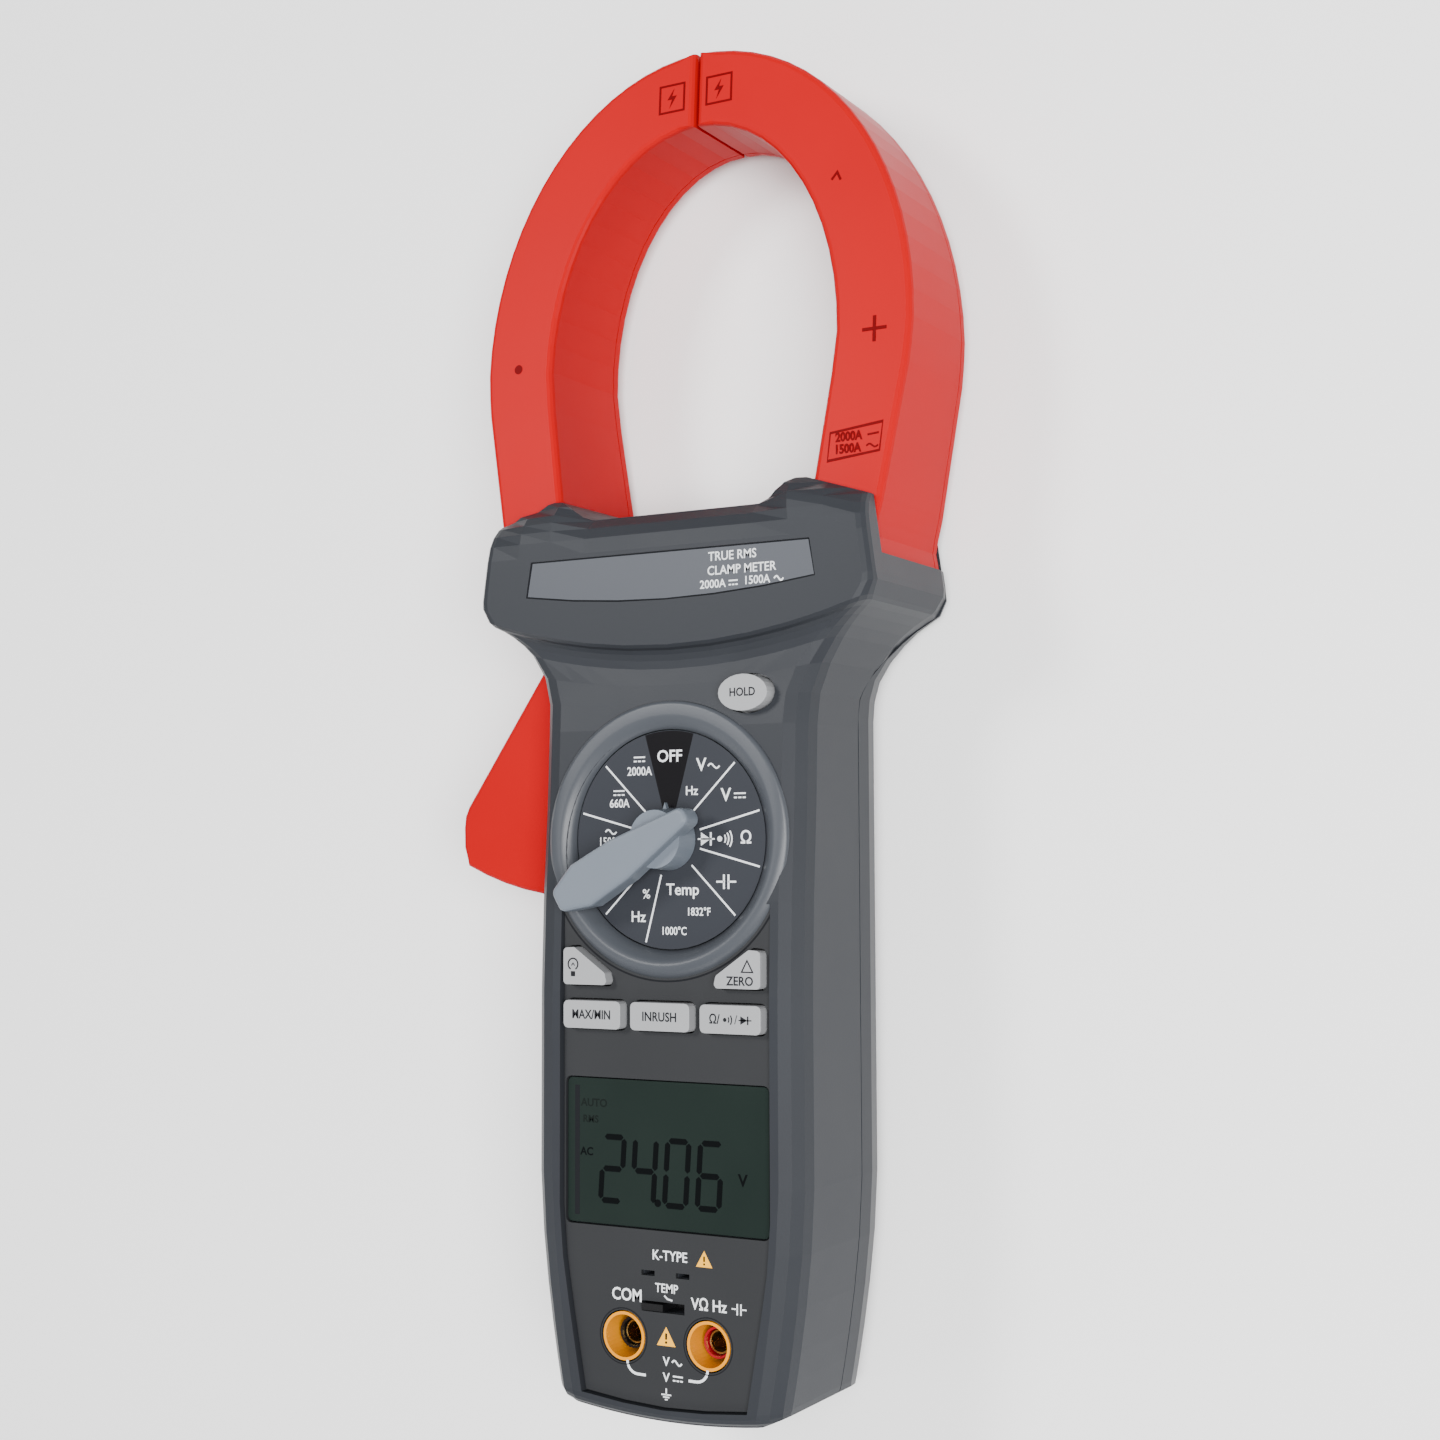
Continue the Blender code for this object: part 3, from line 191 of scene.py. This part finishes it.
def solid(name, outline, z0, z1, look, body="housing", lean=0.0, about=0.0):
    """A thin raised plate with the given outline; lean tilts it along Y about a line."""
    bm = bmesh.new()
    area = sum(a[0] * b[1] - b[0] * a[1] for a, b in zip(outline, outline[1:] + outline[:1]))
    loop = outline if area > 0 else list(reversed(outline))
    low = [bm.verts.new((x * MM, y * MM, (z0 + lean * (y - about)) * MM)) for x, y in loop]
    high = [bm.verts.new((x * MM, y * MM, (z1 + lean * (y - about)) * MM)) for x, y in loop]
    bm.faces.new(high)
    bm.faces.new(list(reversed(low)))
    for i in range(len(loop)):
        j = (i + 1) % len(loop)
        bm.faces.new((low[i], low[j], high[j], high[i]))
    mesh = bpy.data.meshes.new(name)
    bm.to_mesh(mesh)
    bm.free()
    add_piece(name, mesh, look, body)


def stroke(name, points, width, z, look, body="housing", closed=False, high=0.03, lean=0.0, about=0.0):
    """A drawn line of the given width through points."""
    count = len(points)
    left, right = [], []
    for i, here in enumerate(points):
        before = points[i - 1] if (i or closed) else here
        after = points[(i + 1) % count] if (i < count - 1 or closed) else here
        along = (Vector(after) - Vector(before)).normalized()
        if (i or closed) and (i < count - 1 or closed):
            a = (Vector(here) - Vector(before)).normalized()
            b = (Vector(after) - Vector(here)).normalized()
            half = width / 2 / max(0.5, math.sqrt(max(0.0, (1 + a.dot(b)) / 2)))
        else:
            half = width / 2
        side = Vector((-along.y, along.x)) * half
        left.append((here[0] + side.x, here[1] + side.y))
        right.append((here[0] - side.x, here[1] - side.y))
    bm = bmesh.new()
    top, under = [], []
    for row in (left, right):
        top.append([bm.verts.new((x * MM, y * MM, (z + high + lean * (y - about)) * MM)) for x, y in row])
        under.append([bm.verts.new((x * MM, y * MM, (z - 0.02 + lean * (y - about)) * MM)) for x, y in row])
    last = count if closed else count - 1
    for i in range(last):
        j = (i + 1) % count
        bm.faces.new((top[1][i], top[1][j], top[0][j], top[0][i]))
        bm.faces.new((under[0][i], under[0][j], under[1][j], under[1][i]))
        bm.faces.new((under[1][i], under[1][j], top[1][j], top[1][i]))
        bm.faces.new((top[0][i], top[0][j], under[0][j], under[0][i]))
    if not closed:
        bm.faces.new((top[0][0], under[0][0], under[1][0], top[1][0]))
        bm.faces.new((top[1][-1], under[1][-1], under[0][-1], top[0][-1]))
    mesh = bpy.data.meshes.new(name)
    bm.to_mesh(mesh)
    bm.free()
    add_piece(name, mesh, look, body)


def words(name, text, x, y, size, z, look, body="housing", stretch=1.0, lean=0.0, about=0.0, bold=0.0):
    """Printed characters, centred, as a mesh."""
    curve = bpy.data.curves.new(name, "FONT")
    curve.body = text
    curve.size = size * MM
    curve.align_x = "CENTER"
    curve.align_y = "CENTER"
    curve.extrude = 0.02 * MM
    curve.offset = bold * MM
    curve.resolution_u = 3
    guide = bpy.data.objects.new(name + "_guide", curve)
    bpy.context.scene.collection.objects.link(guide)
    mesh = bpy.data.meshes.new_from_object(guide)
    bpy.data.objects.remove(guide)
    mesh.materials.clear()
    height = z + lean * (y - about)
    shift = Matrix.Translation((x * MM, y * MM, height * MM))
    mesh.transform(shift @ Matrix.Diagonal((stretch, 1.0, 1.0, 1.0)))
    add_piece(name, mesh, look, body)


def around(radius, degrees, x=0.0, y=0.0):
    """A point at an angle clockwise from straight up."""
    a = math.radians(degrees)
    return (x + radius * math.sin(a), y + radius * math.cos(a))


def arc(radius, start, end, steps, x=0.0, y=0.0):
    """Points along part of a circle, clockwise."""
    return [around(radius, start + (end - start) * i / steps, x, y) for i in range(steps + 1)]


def dc_mark(name, x, y, width, z, look):
    """The direct-current sign: a bar over three dashes."""
    solid(f"{name}_bar", [(x - width / 2, y + 0.3), (x + width / 2, y + 0.3), (x + width / 2, y + 0.6),
                          (x - width / 2, y + 0.6)], z - 0.02, z + 0.03, look)
    for i in range(3):
        left = x - width / 2 + i * width * 0.37
        solid(f"{name}_dash_{i}", [(left, y - 0.5), (left + width * 0.26, y - 0.5),
                                   (left + width * 0.26, y - 0.2), (left, y - 0.2)], z - 0.02, z + 0.03, look)


def wave_mark(name, x, y, width, z, look):
    """The alternating-current sign."""
    points = [(x + width * (i / 10 - 0.5), y + 0.45 * math.sin(math.tau * i / 10)) for i in range(11)]
    stroke(name, points, 0.32, z, look)


def print_dial():
    """The selector dial: one sector for each function."""
    z = DIAL
    solid("off_wedge", [around(6.4, -14)] + arc(21.4, -15, 15, 10) + [around(6.4, 14)], z - 0.02, z + 0.02,
          INK_BLACK)
    for angle in (45, 75, 105, 135, 195, 225, 255, 285, 315):
        stroke(f"dial_line_{angle}", [around(7.2, angle), around(20.9, angle)], 0.36, z, INK_WHITE)
    words("dial_off", "OFF", 0.1, 16.3, 3.3, z + 0.04, INK_WHITE, bold=0.05)
    words("dial_volts_ac", "V", 7.3, 14.4, 3.6, z, INK_WHITE, bold=0.05)
    wave_mark("dial_volts_wave", 10.1, 14.2, 2.6, z, INK_WHITE)
    words("dial_volts_hz", "Hz", 5.1, 9.4, 2.5, z, INK_WHITE, bold=0.03)
    words("dial_volts_dc", "V", 12.8, 8.4, 3.6, z, INK_WHITE, bold=0.05)
    dc_mark("dial_volts_dc_mark", 15.9, 8.3, 2.6, z, INK_WHITE)
    solid("dial_diode_arrow", [(7.2, 1.3), (7.2, -1.3), (9.3, 0.0)], z - 0.02, z + 0.03, INK_WHITE)
    stroke("dial_diode_bar", [(9.4, 1.3), (9.4, -1.3)], 0.4, z, INK_WHITE)
    stroke("dial_diode_lead", [(6.5, 0.0), (10.3, 0.0)], 0.3, z, INK_WHITE)
    solid("dial_beep_dot", arc(0.55, 0, 345, 12, 11.4, 0.0), z - 0.02, z + 0.03, INK_WHITE)
    for i, radius in enumerate((1.3, 2.0, 2.7)):
        stroke(f"dial_beep_{i}", arc(radius, 55, 125, 6, 11.4, 0.0), 0.3, z, INK_WHITE)
    words("dial_ohms", "Ω", 17.2, 0.1, 3.4, z, INK_WHITE, bold=0.05)
    for i, x in enumerate((12.3, 13.3)):
        stroke(f"dial_capacitor_plate_{i}", [(x, -9.7), (x, -6.9)], 0.4, z, INK_WHITE)
    stroke("dial_capacitor_lead_left", [(10.6, -8.3), (12.3, -8.3)], 0.36, z, INK_WHITE)
    stroke("dial_capacitor_lead_right", [(13.3, -8.3), (15.0, -8.3)], 0.36, z, INK_WHITE)
    words("dial_temp", "Temp", 3.0, -9.9, 3.2, z, INK_WHITE, bold=0.04)
    words("dial_fahrenheit", "1832°F", 6.6, -14.2, 2.2, z, INK_WHITE, stretch=0.86, bold=0.03)
    words("dial_celsius", "1000°C", 1.0, -18.0, 2.2, z, INK_WHITE, stretch=0.86, bold=0.03)
    words("dial_percent", "%", -5.3, -10.8, 2.6, z, INK_WHITE, bold=0.03)
    words("dial_hz", "Hz", -7.2, -15.3, 3.0, z, INK_WHITE, bold=0.04)
    wave_mark("dial_high_wave", -13.6, 1.6, 2.6, z, INK_WHITE)
    words("dial_high_amps", "1500A", -13.8, -0.4, 2.4, z, INK_WHITE, stretch=0.86, bold=0.03)
    words("dial_high_hz", "Hz", -8.6, -0.1, 2.1, z, INK_WHITE)
    dc_mark("dial_mid_mark", -11.7, 9.3, 2.6, z, INK_WHITE)
    words("dial_mid_amps", "660A", -11.6, 7.2, 2.4, z, INK_WHITE, stretch=0.9, bold=0.03)
    dc_mark("dial_top_mark", -6.9, 15.9, 2.6, z, INK_WHITE)
    words("dial_top_amps", "2000A", -6.9, 13.5, 2.4, z, INK_WHITE, stretch=0.9, bold=0.03)
    stroke("bezel_seam", arc(27.65, 118, 243, 60), 0.35, PANEL + 0.02, SEAM_AND_SHADE, high=0.02)


def print_keys():
    """The marks on the push buttons."""
    z = KEYS
    words("max_min_mark", "MAX/MIN", -15.7, -34.5, 2.5, z, INK_KEY, "max_min_button_body", 0.86, bold=0.05)
    words("inrush_mark", "INRUSH", 0.0, -34.5, 2.5, z, INK_KEY, "inrush_button_body", 0.9, bold=0.05)
    words("function_mark", "Ω/", 12.3, -34.5, 2.5, z, INK_KEY, "function_button_body", 0.9, bold=0.05)
    body = "function_button_body"
    solid("function_dot", arc(0.4, 0, 340, 10, 14.6, -34.5), z - 0.02, z + 0.03, INK_KEY, body)
    for i, radius in enumerate((0.9, 1.5)):
        stroke(f"function_beep_{i}", arc(radius, 55, 125, 5, 14.6, -34.5), 0.25, z, INK_KEY, body)
    words("function_slash", "/", 17.0, -34.5, 2.4, z, INK_KEY, body)
    solid("function_arrow", [(18.0, -33.7), (18.0, -35.3), (19.5, -34.5)], z - 0.02, z + 0.03, INK_KEY, body)
    stroke("function_bar", [(19.6, -33.7), (19.6, -35.3)], 0.3, z, INK_KEY, body)
    stroke("function_lead", [(17.6, -34.5), (20.4, -34.5)], 0.22, z, INK_KEY, body)
    words("zero_mark", "ZERO", 17.9, -27.2, 2.4, z, INK_KEY, "zero_button_body", 0.95, bold=0.05)
    stroke("zero_triangle", [(18.3, -25.4), (20.7, -25.4), (19.5, -23.2)], 0.26, z, INK_KEY,
           "zero_button_body", closed=True)
    stroke("lamp_bulb", arc(1.15, -150, 150, 14, -20.0, -24.6), 0.3, z, INK_KEY, "lamp_button_body")
    stroke("lamp_filament", [(-20.4, -24.9), (-20.0, -24.4), (-19.6, -24.9)], 0.2, z, INK_KEY,
           "lamp_button_body")
    solid("lamp_base", [(-20.5, -27.0), (-19.5, -27.0), (-19.5, -26.0), (-20.5, -26.0)], z - 0.02, z + 0.03,
          INK_KEY, "lamp_button_body")
    words("hold_mark", "HOLD", 17.8, 28.1, 2.3, HOLD, INK_KEY, "hold_button_body", 0.9, bold=0.05)


SEGMENTS = {
    "top": ((-0.36, 0.5), (0.36, 0.5)), "middle": ((-0.36, 0.0), (0.36, 0.0)),
    "bottom": ((-0.36, -0.5), (0.36, -0.5)),
    "upper_left": ((-0.36, 0.5), (-0.36, 0.0)), "upper_right": ((0.36, 0.5), (0.36, 0.0)),
    "lower_left": ((-0.36, 0.0), (-0.36, -0.5)), "lower_right": ((0.36, 0.0), (0.36, -0.5)),
}
DIGITS = {
    "1": ("upper_right", "lower_right"),
    "2": ("top", "upper_right", "middle", "lower_left", "bottom"),
    "4": ("upper_left", "upper_right", "middle", "lower_right"),
    "6": ("top", "upper_left", "middle", "lower_left", "lower_right", "bottom"),
    "0": ("top", "upper_left", "upper_right", "lower_left", "lower_right", "bottom"),
    "9": ("top", "upper_left", "upper_right", "middle", "lower_right", "bottom"),
}


def digit(name, figure, x, y, wide, tall):
    """One seven-segment figure, every bar tapered at both ends."""
    bar = 1.15
    for part in DIGITS[figure]:
        (ax, ay), (bx, by) = SEGMENTS[part]
        start = Vector((x + ax * wide + ay * 0.8, y + ay * tall))
        end = Vector((x + bx * wide + by * 0.8, y + by * tall))
        along = (end - start).normalized()
        side = Vector((-along.y, along.x))
        s, e = start + along * 0.22, end - along * 0.22
        outline = [s, s + along * 0.5 + side * bar / 2, e - along * 0.5 + side * bar / 2, e,
                   e - along * 0.5 - side * bar / 2, s + along * 0.5 - side * bar / 2]
        solid(f"{name}_{part}", [(p.x, p.y) for p in outline], DISPLAY - 0.02, DISPLAY + 0.04, SEGMENT)


def print_display():
    """A made-up reading, its small signs, and a strip of painted shade along the window's left edge."""
    for i, figure in enumerate("2406"):
        digit(f"figure_{i}", figure, -12.3 + 7.35 * i, -64.6, 6.6, 12.4)
    z = DISPLAY
    point = arc(0.75, 0, 330, 12, -1.9, -70.5)
    solid("figure_point", point, z - 0.02, z + 0.04, SEGMENT)
    words("display_auto", "AUTO", -16.6, -52.0, 2.2, z, FAINT, bold=0.05)
    words("display_rms", "RMS", -17.4, -55.2, 2.0, z, FAINT, bold=0.05)
    words("display_ac", "AC", -18.3, -61.6, 2.2, z, SEGMENT, bold=0.05)
    words("display_unit", "V", 17.0, -65.0, 3.2, z, SEGMENT, bold=0.08)
    # A dark strip of painted shade along the display's left edge, where the sunk window throws a shadow.
    solid("display_painted_shade_left", [(-21.1, -74.0), (-20.0, -74.0), (-20.0, -48.6), (-21.1, -48.6)], z - 0.02,
          z + 0.02, SEAM_AND_SHADE)


def warning_triangle(name, x, y, size, z):
    """A yellow triangle with an exclamation mark."""
    corners = [(x - size / 2, y - size * 0.43), (x + size / 2, y - size * 0.43), (x, y + size * 0.43)]
    solid(f"{name}_field", corners, z - 0.02, z + 0.02, INK_YELLOW)
    stroke(f"{name}_mark", [(x, y + size * 0.14), (x, y - size * 0.14)], size * 0.1, z + 0.02, INK_BLACK)
    solid(f"{name}_dot", arc(size * 0.06, 0, 324, 9, x, y - size * 0.27), z, z + 0.05, INK_BLACK)


def print_panel():
    """The marks round the test-lead and thermocouple sockets."""
    z = PANEL
    words("panel_thermocouple", "K-TYPE", 1.0, -80.4, 2.7, z, INK_WHITE, stretch=0.92, bold=0.04)
    words("panel_temp", "TEMP", 0.3, -86.6, 2.4, z, INK_WHITE, stretch=0.9, bold=0.03)
    words("panel_common", "COM", -8.7, -88.6, 3.3, z, INK_WHITE, stretch=0.92, bold=0.06)
    words("panel_volts", "VΩ Hz", 9.7, -88.9, 3.1, z, INK_WHITE, stretch=0.9, bold=0.05)
    for i, x in enumerate((15.9, 16.7)):
        stroke(f"panel_capacitor_plate_{i}", [(x, -90.0), (x, -87.9)], 0.3, z, INK_WHITE)
    stroke("panel_capacitor_left", [(14.7, -88.9), (15.9, -88.9)], 0.26, z, INK_WHITE)
    stroke("panel_capacitor_right", [(16.7, -88.9), (17.9, -88.9)], 0.26, z, INK_WHITE)
    stroke("panel_arrow", [(-0.2, -87.9), (0.5, -88.5), (1.6, -88.7)], 0.3, z, INK_WHITE)
    warning_triangle("upper_triangle", 8.7, -80.2, 3.6, z)
    warning_triangle("lower_triangle", 0.2, -95.6, 4.2, z)
    words("panel_limit_ac", "V", 0.2, -100.4, 2.4, z, INK_WHITE, bold=0.04)
    wave_mark("panel_limit_wave", 2.6, -100.4, 2.2, z, INK_WHITE)
    words("panel_limit_dc", "V", 0.2, -103.4, 2.4, z, INK_WHITE, bold=0.04)
    dc_mark("panel_limit_mark", 2.8, -103.4, 2.2, z, INK_WHITE)
    stroke("panel_bracket_left", arc(2.4, 270, 180, 6, -6.2, -101.0), 0.5, z, INK_WHITE)
    stroke("panel_bracket_left_foot", [(-6.2, -103.4), (-4.4, -103.4)], 0.5, z, INK_WHITE)
    stroke("panel_bracket_right", arc(2.4, 90, 180, 6, 7.0, -101.0), 0.5, z, INK_WHITE)
    stroke("panel_bracket_right_foot", [(7.0, -103.4), (5.2, -103.4)], 0.5, z, INK_WHITE)
    stroke("panel_ground_stem", [(0.2, -105.4), (0.2, -106.6)], 0.3, z, INK_WHITE)
    for i, half in enumerate((1.1, 0.7, 0.3)):
        y = -106.6 - 0.45 * i
        stroke(f"panel_ground_bar_{i}", [(0.2 - half, y), (0.2 + half, y)], 0.25, z, INK_WHITE)
    for side, name in ((-1, "com"), (1, "volt")):
        ring = arc(5.35, 0, 352, 44, side * 9.5, -96.5)
        stroke(f"{name}_ring", ring, 0.22, z, SEAM_AND_SHADE, closed=True)


def tip_square(side):
    """A square with a lightning flash by a jaw's tip, drawn in dark red as painted shade so that it looks
    sunk.
    """
    name, body = ("left", "left_jaw") if side < 0 else ("right", "right_jaw")
    x, y, half = side * 5.6, 153.9, 2.9
    corners = [(x - half, y - half), (x + half, y - half), (x + half, y + half), (x - half, y + half)]
    stroke(f"{name}_tip_square", corners, 0.45, JAW_FACE, SUNK_SHADE_RED, body, True, 0.04, *JAW_SLOPE)
    flash = [(0.5, 2.1), (-1.1, -0.2), (0.0, -0.2), (-0.6, -2.1), (1.1, 0.5), (0.0, 0.5)]
    flash = [(x + a, y + b) for a, b in flash]
    solid(f"{name}_tip_flash", flash, JAW_FACE - 0.02, JAW_FACE + 0.04, SUNK_SHADE_RED, body, *JAW_SLOPE)


def jaw_marks():
    """The signs on the two jaws, drawn in dark red as painted shade so that they look sunk."""
    tip_square(-1)
    tip_square(1)
    plus = ((39.4, 98.2), (44.6, 98.2)), ((42.0, 95.6), (42.0, 100.8))
    for i, line in enumerate(plus):
        stroke(f"polarity_plus_{i}", list(line), 0.7, JAW_FACE + 0.01 * i, SUNK_SHADE_RED, "right_jaw", False, 0.04,
               *JAW_SLOPE)
    dimple = arc(1.0, 0, 345, 23, -41.7, 100.4)
    solid("left_dimple", dimple, JAW_FACE - 0.02, JAW_FACE + 0.04, SUNK_SHADE_RED, "left_jaw", *JAW_SLOPE)
    arrow = [(32.0, 129.8), (33.2, 131.2), (34.0, 129.5)]
    stroke("centre_arrow", arrow, 0.5, JAW_FACE, SUNK_SHADE_RED, "right_jaw", False, 0.04, *JAW_SLOPE)
    plate = [(32.5, 72.9), (43.6, 74.0), (44.2, 79.6), (33.0, 78.4)]
    stroke("rating_frame", plate, 0.4, JAW_FACE, SUNK_SHADE_RED, "right_jaw", True, 0.04, *JAW_SLOPE)
    words("rating_upper", "2000A", 37.0, 77.3, 2.5, JAW_FACE + 0.06,
          SUNK_SHADE_RED, "right_jaw", 0.85, *JAW_SLOPE, 0.1)
    words("rating_lower", "1500A", 36.8, 74.9, 2.5, JAW_FACE + 0.06,
          SUNK_SHADE_RED, "right_jaw", 0.85, *JAW_SLOPE, 0.1)
    dash = [(41.0, 77.3), (43.4, 77.5)]
    stroke("rating_direct", dash, 0.4, JAW_FACE, SUNK_SHADE_RED, "right_jaw", False, 0.04, *JAW_SLOPE)
    wave = [(40.8 + 0.25 * i, 75.1 + 0.35 * math.sin(math.tau * i / 10)) for i in range(11)]
    stroke("rating_wave", wave, 0.35, JAW_FACE, SUNK_SHADE_RED, "right_jaw", False, 0.04, *JAW_SLOPE)


def bezel_height(degrees):
    """The bezel's crest is flush with the housing above the dial and stands proud below it."""
    return 39.35 + 2.15 * (1 - math.cos(math.radians(degrees))) / 2


def bezel():
    """The raised ring round the dial."""
    steps, rings = 96, []
    bm = bmesh.new()
    for i in range(steps):
        angle = 360.0 * i / steps
        crest = bezel_height(angle)
        low = 38.35
        drop = max(0.0, crest - 39.9)
        profile = [(21.75, 37.6), (21.75, low)]
        profile += [(21.75 + 2.9 * t, low + (crest - low) * math.sin(t * math.pi / 2))
                    for t in (0.3, 0.6, 0.85)]
        profile += [(24.7, crest), (25.6, crest - 0.08), (26.5, crest - 0.10 - 0.35 * drop),
                    (27.2, crest - 0.2 - 0.85 * drop), (27.4, 37.6)]
        ring = []
        for radius, height in profile:
            x, y = around(radius, angle)
            ring.append(bm.verts.new((x * MM, y * MM, height * MM)))
        rings.append(ring)
    for i in range(steps):
        a, b = rings[i], rings[(i + 1) % steps]
        for k in range(len(a)):
            j = (k + 1) % len(a)
            bm.faces.new((a[k], b[k], b[j], a[j]))
    bmesh.ops.recalc_face_normals(bm, faces=bm.faces)
    mesh = bpy.data.meshes.new("dial_bezel")
    bm.to_mesh(mesh)
    bm.free()
    mesh.shade_smooth()
    add_piece("dial_bezel", mesh, BEZEL, "housing")


def print_label():
    """The writing on the head, and the seam round its label."""
    z = LABEL
    seam = [(-33.1, 49.9), (-22, 48.6), (-11, 47.8), (0, 47.5), (11, 47.8), (22, 48.6), (33.1, 49.9),
            (31.9, 57.0), (-31.9, 57.0)]
    stroke("label_seam", seam, 0.25, z, SEAM_AND_SHADE, closed=True)
    words("label_rms", "TRUE RMS", 15.2, 55.0, 2.5, z, INK_WHITE, stretch=0.95, bold=0.03)
    words("label_kind", "CLAMP METER", 17.2, 52.2, 2.5, z, INK_WHITE, stretch=0.95, bold=0.03)
    words("label_range", "2000A", 10.8, 49.6, 2.3, z, INK_WHITE, stretch=0.95, bold=0.03)
    dc_mark("label_range_mark", 15.4, 49.6, 2.0, z, INK_WHITE)
    words("label_range_ac", "1500A", 20.6, 49.8, 2.3, z, INK_WHITE, stretch=0.95, bold=0.03)
    wave_mark("label_range_wave", 25.4, 49.8, 2.0, z, INK_WHITE)


print_dial()
print_keys()
print_display()
print_panel()
print_label()
bezel()
jaw_marks()


# ---------------------------------------------------------------- studio

def area_light(name, place, target, wide, tall, power):
    """A rectangular softbox turned towards a point; its power is in watts."""
    data = bpy.data.lights.new(name, "AREA")
    data.shape = "RECTANGLE"
    data.size, data.size_y = wide, tall
    data.energy = power
    lamp = bpy.data.objects.new(name, data)
    lamp.location = place
    lamp.rotation_mode = "QUATERNION"
    lamp.rotation_quaternion = (Vector(target) - Vector(place)).to_track_quat("-Z", "Y")
    bpy.context.scene.collection.objects.link(lamp)


area_light("head_softbox", (-0.58, 0.42, 1.0), (0.0, 0.06, 0.03), 0.3, 0.3, 9.0)
area_light("key_softbox", (0.62, -0.05, 1.08), (0.0, 0.03, 0.02), 0.6, 0.9, 38.0)
area_light("low_fill", (0.10, -0.95, 0.60), (0.0, 0.0, 0.02), 0.9, 0.4, 4.0)
area_light("left_fill", (-0.9, -0.35, 0.5), (0.0, 0.0, 0.02), 0.4, 0.8, 2.0)

world = bpy.data.worlds.new("studio")
world.use_nodes = True
world.node_tree.nodes["Background"].inputs["Color"].default_value = (1.0, 1.0, 1.0, 1.0)
world.node_tree.nodes["Background"].inputs["Strength"].default_value = 0.2
bpy.context.scene.world = world

floor_mesh = bpy.data.meshes.new("floor")
floor_mesh.from_pydata([(-6, -6, 0), (6, -6, 0), (6, 6, 0), (-6, 6, 0)], [], [(0, 1, 2, 3)])
floor = bpy.data.objects.new("floor", floor_mesh)
floor.location.z = -0.0002
floor_look = bpy.data.materials.new("floor_white")
floor_look.use_nodes = True
floor_look.node_tree.nodes["Principled BSDF"].inputs["Base Color"].default_value = (0.9, 0.9, 0.9, 1.0)
floor_look.node_tree.nodes["Principled BSDF"].inputs["Roughness"].default_value = 0.9
floor_mesh.materials.append(floor_look)
bpy.context.scene.collection.objects.link(floor)

camera_data = bpy.data.cameras.new("camera")
camera_data.lens = 51.87
camera_data.sensor_width = 36.0
camera_data.clip_start = 0.01
camera = bpy.data.objects.new("camera", camera_data)
right = Vector((0.8696, -0.0037, -0.4937))
up = Vector((0.0382, 0.9975, 0.0597))
forward = Vector((-0.4922, 0.0708, -0.8676))
turn = Matrix((right, up, -forward)).transposed().to_4x4()
camera.matrix_world = Matrix.Translation((0.2104, -0.0055, 0.3887)) @ turn
bpy.context.scene.collection.objects.link(camera)
bpy.context.scene.camera = camera
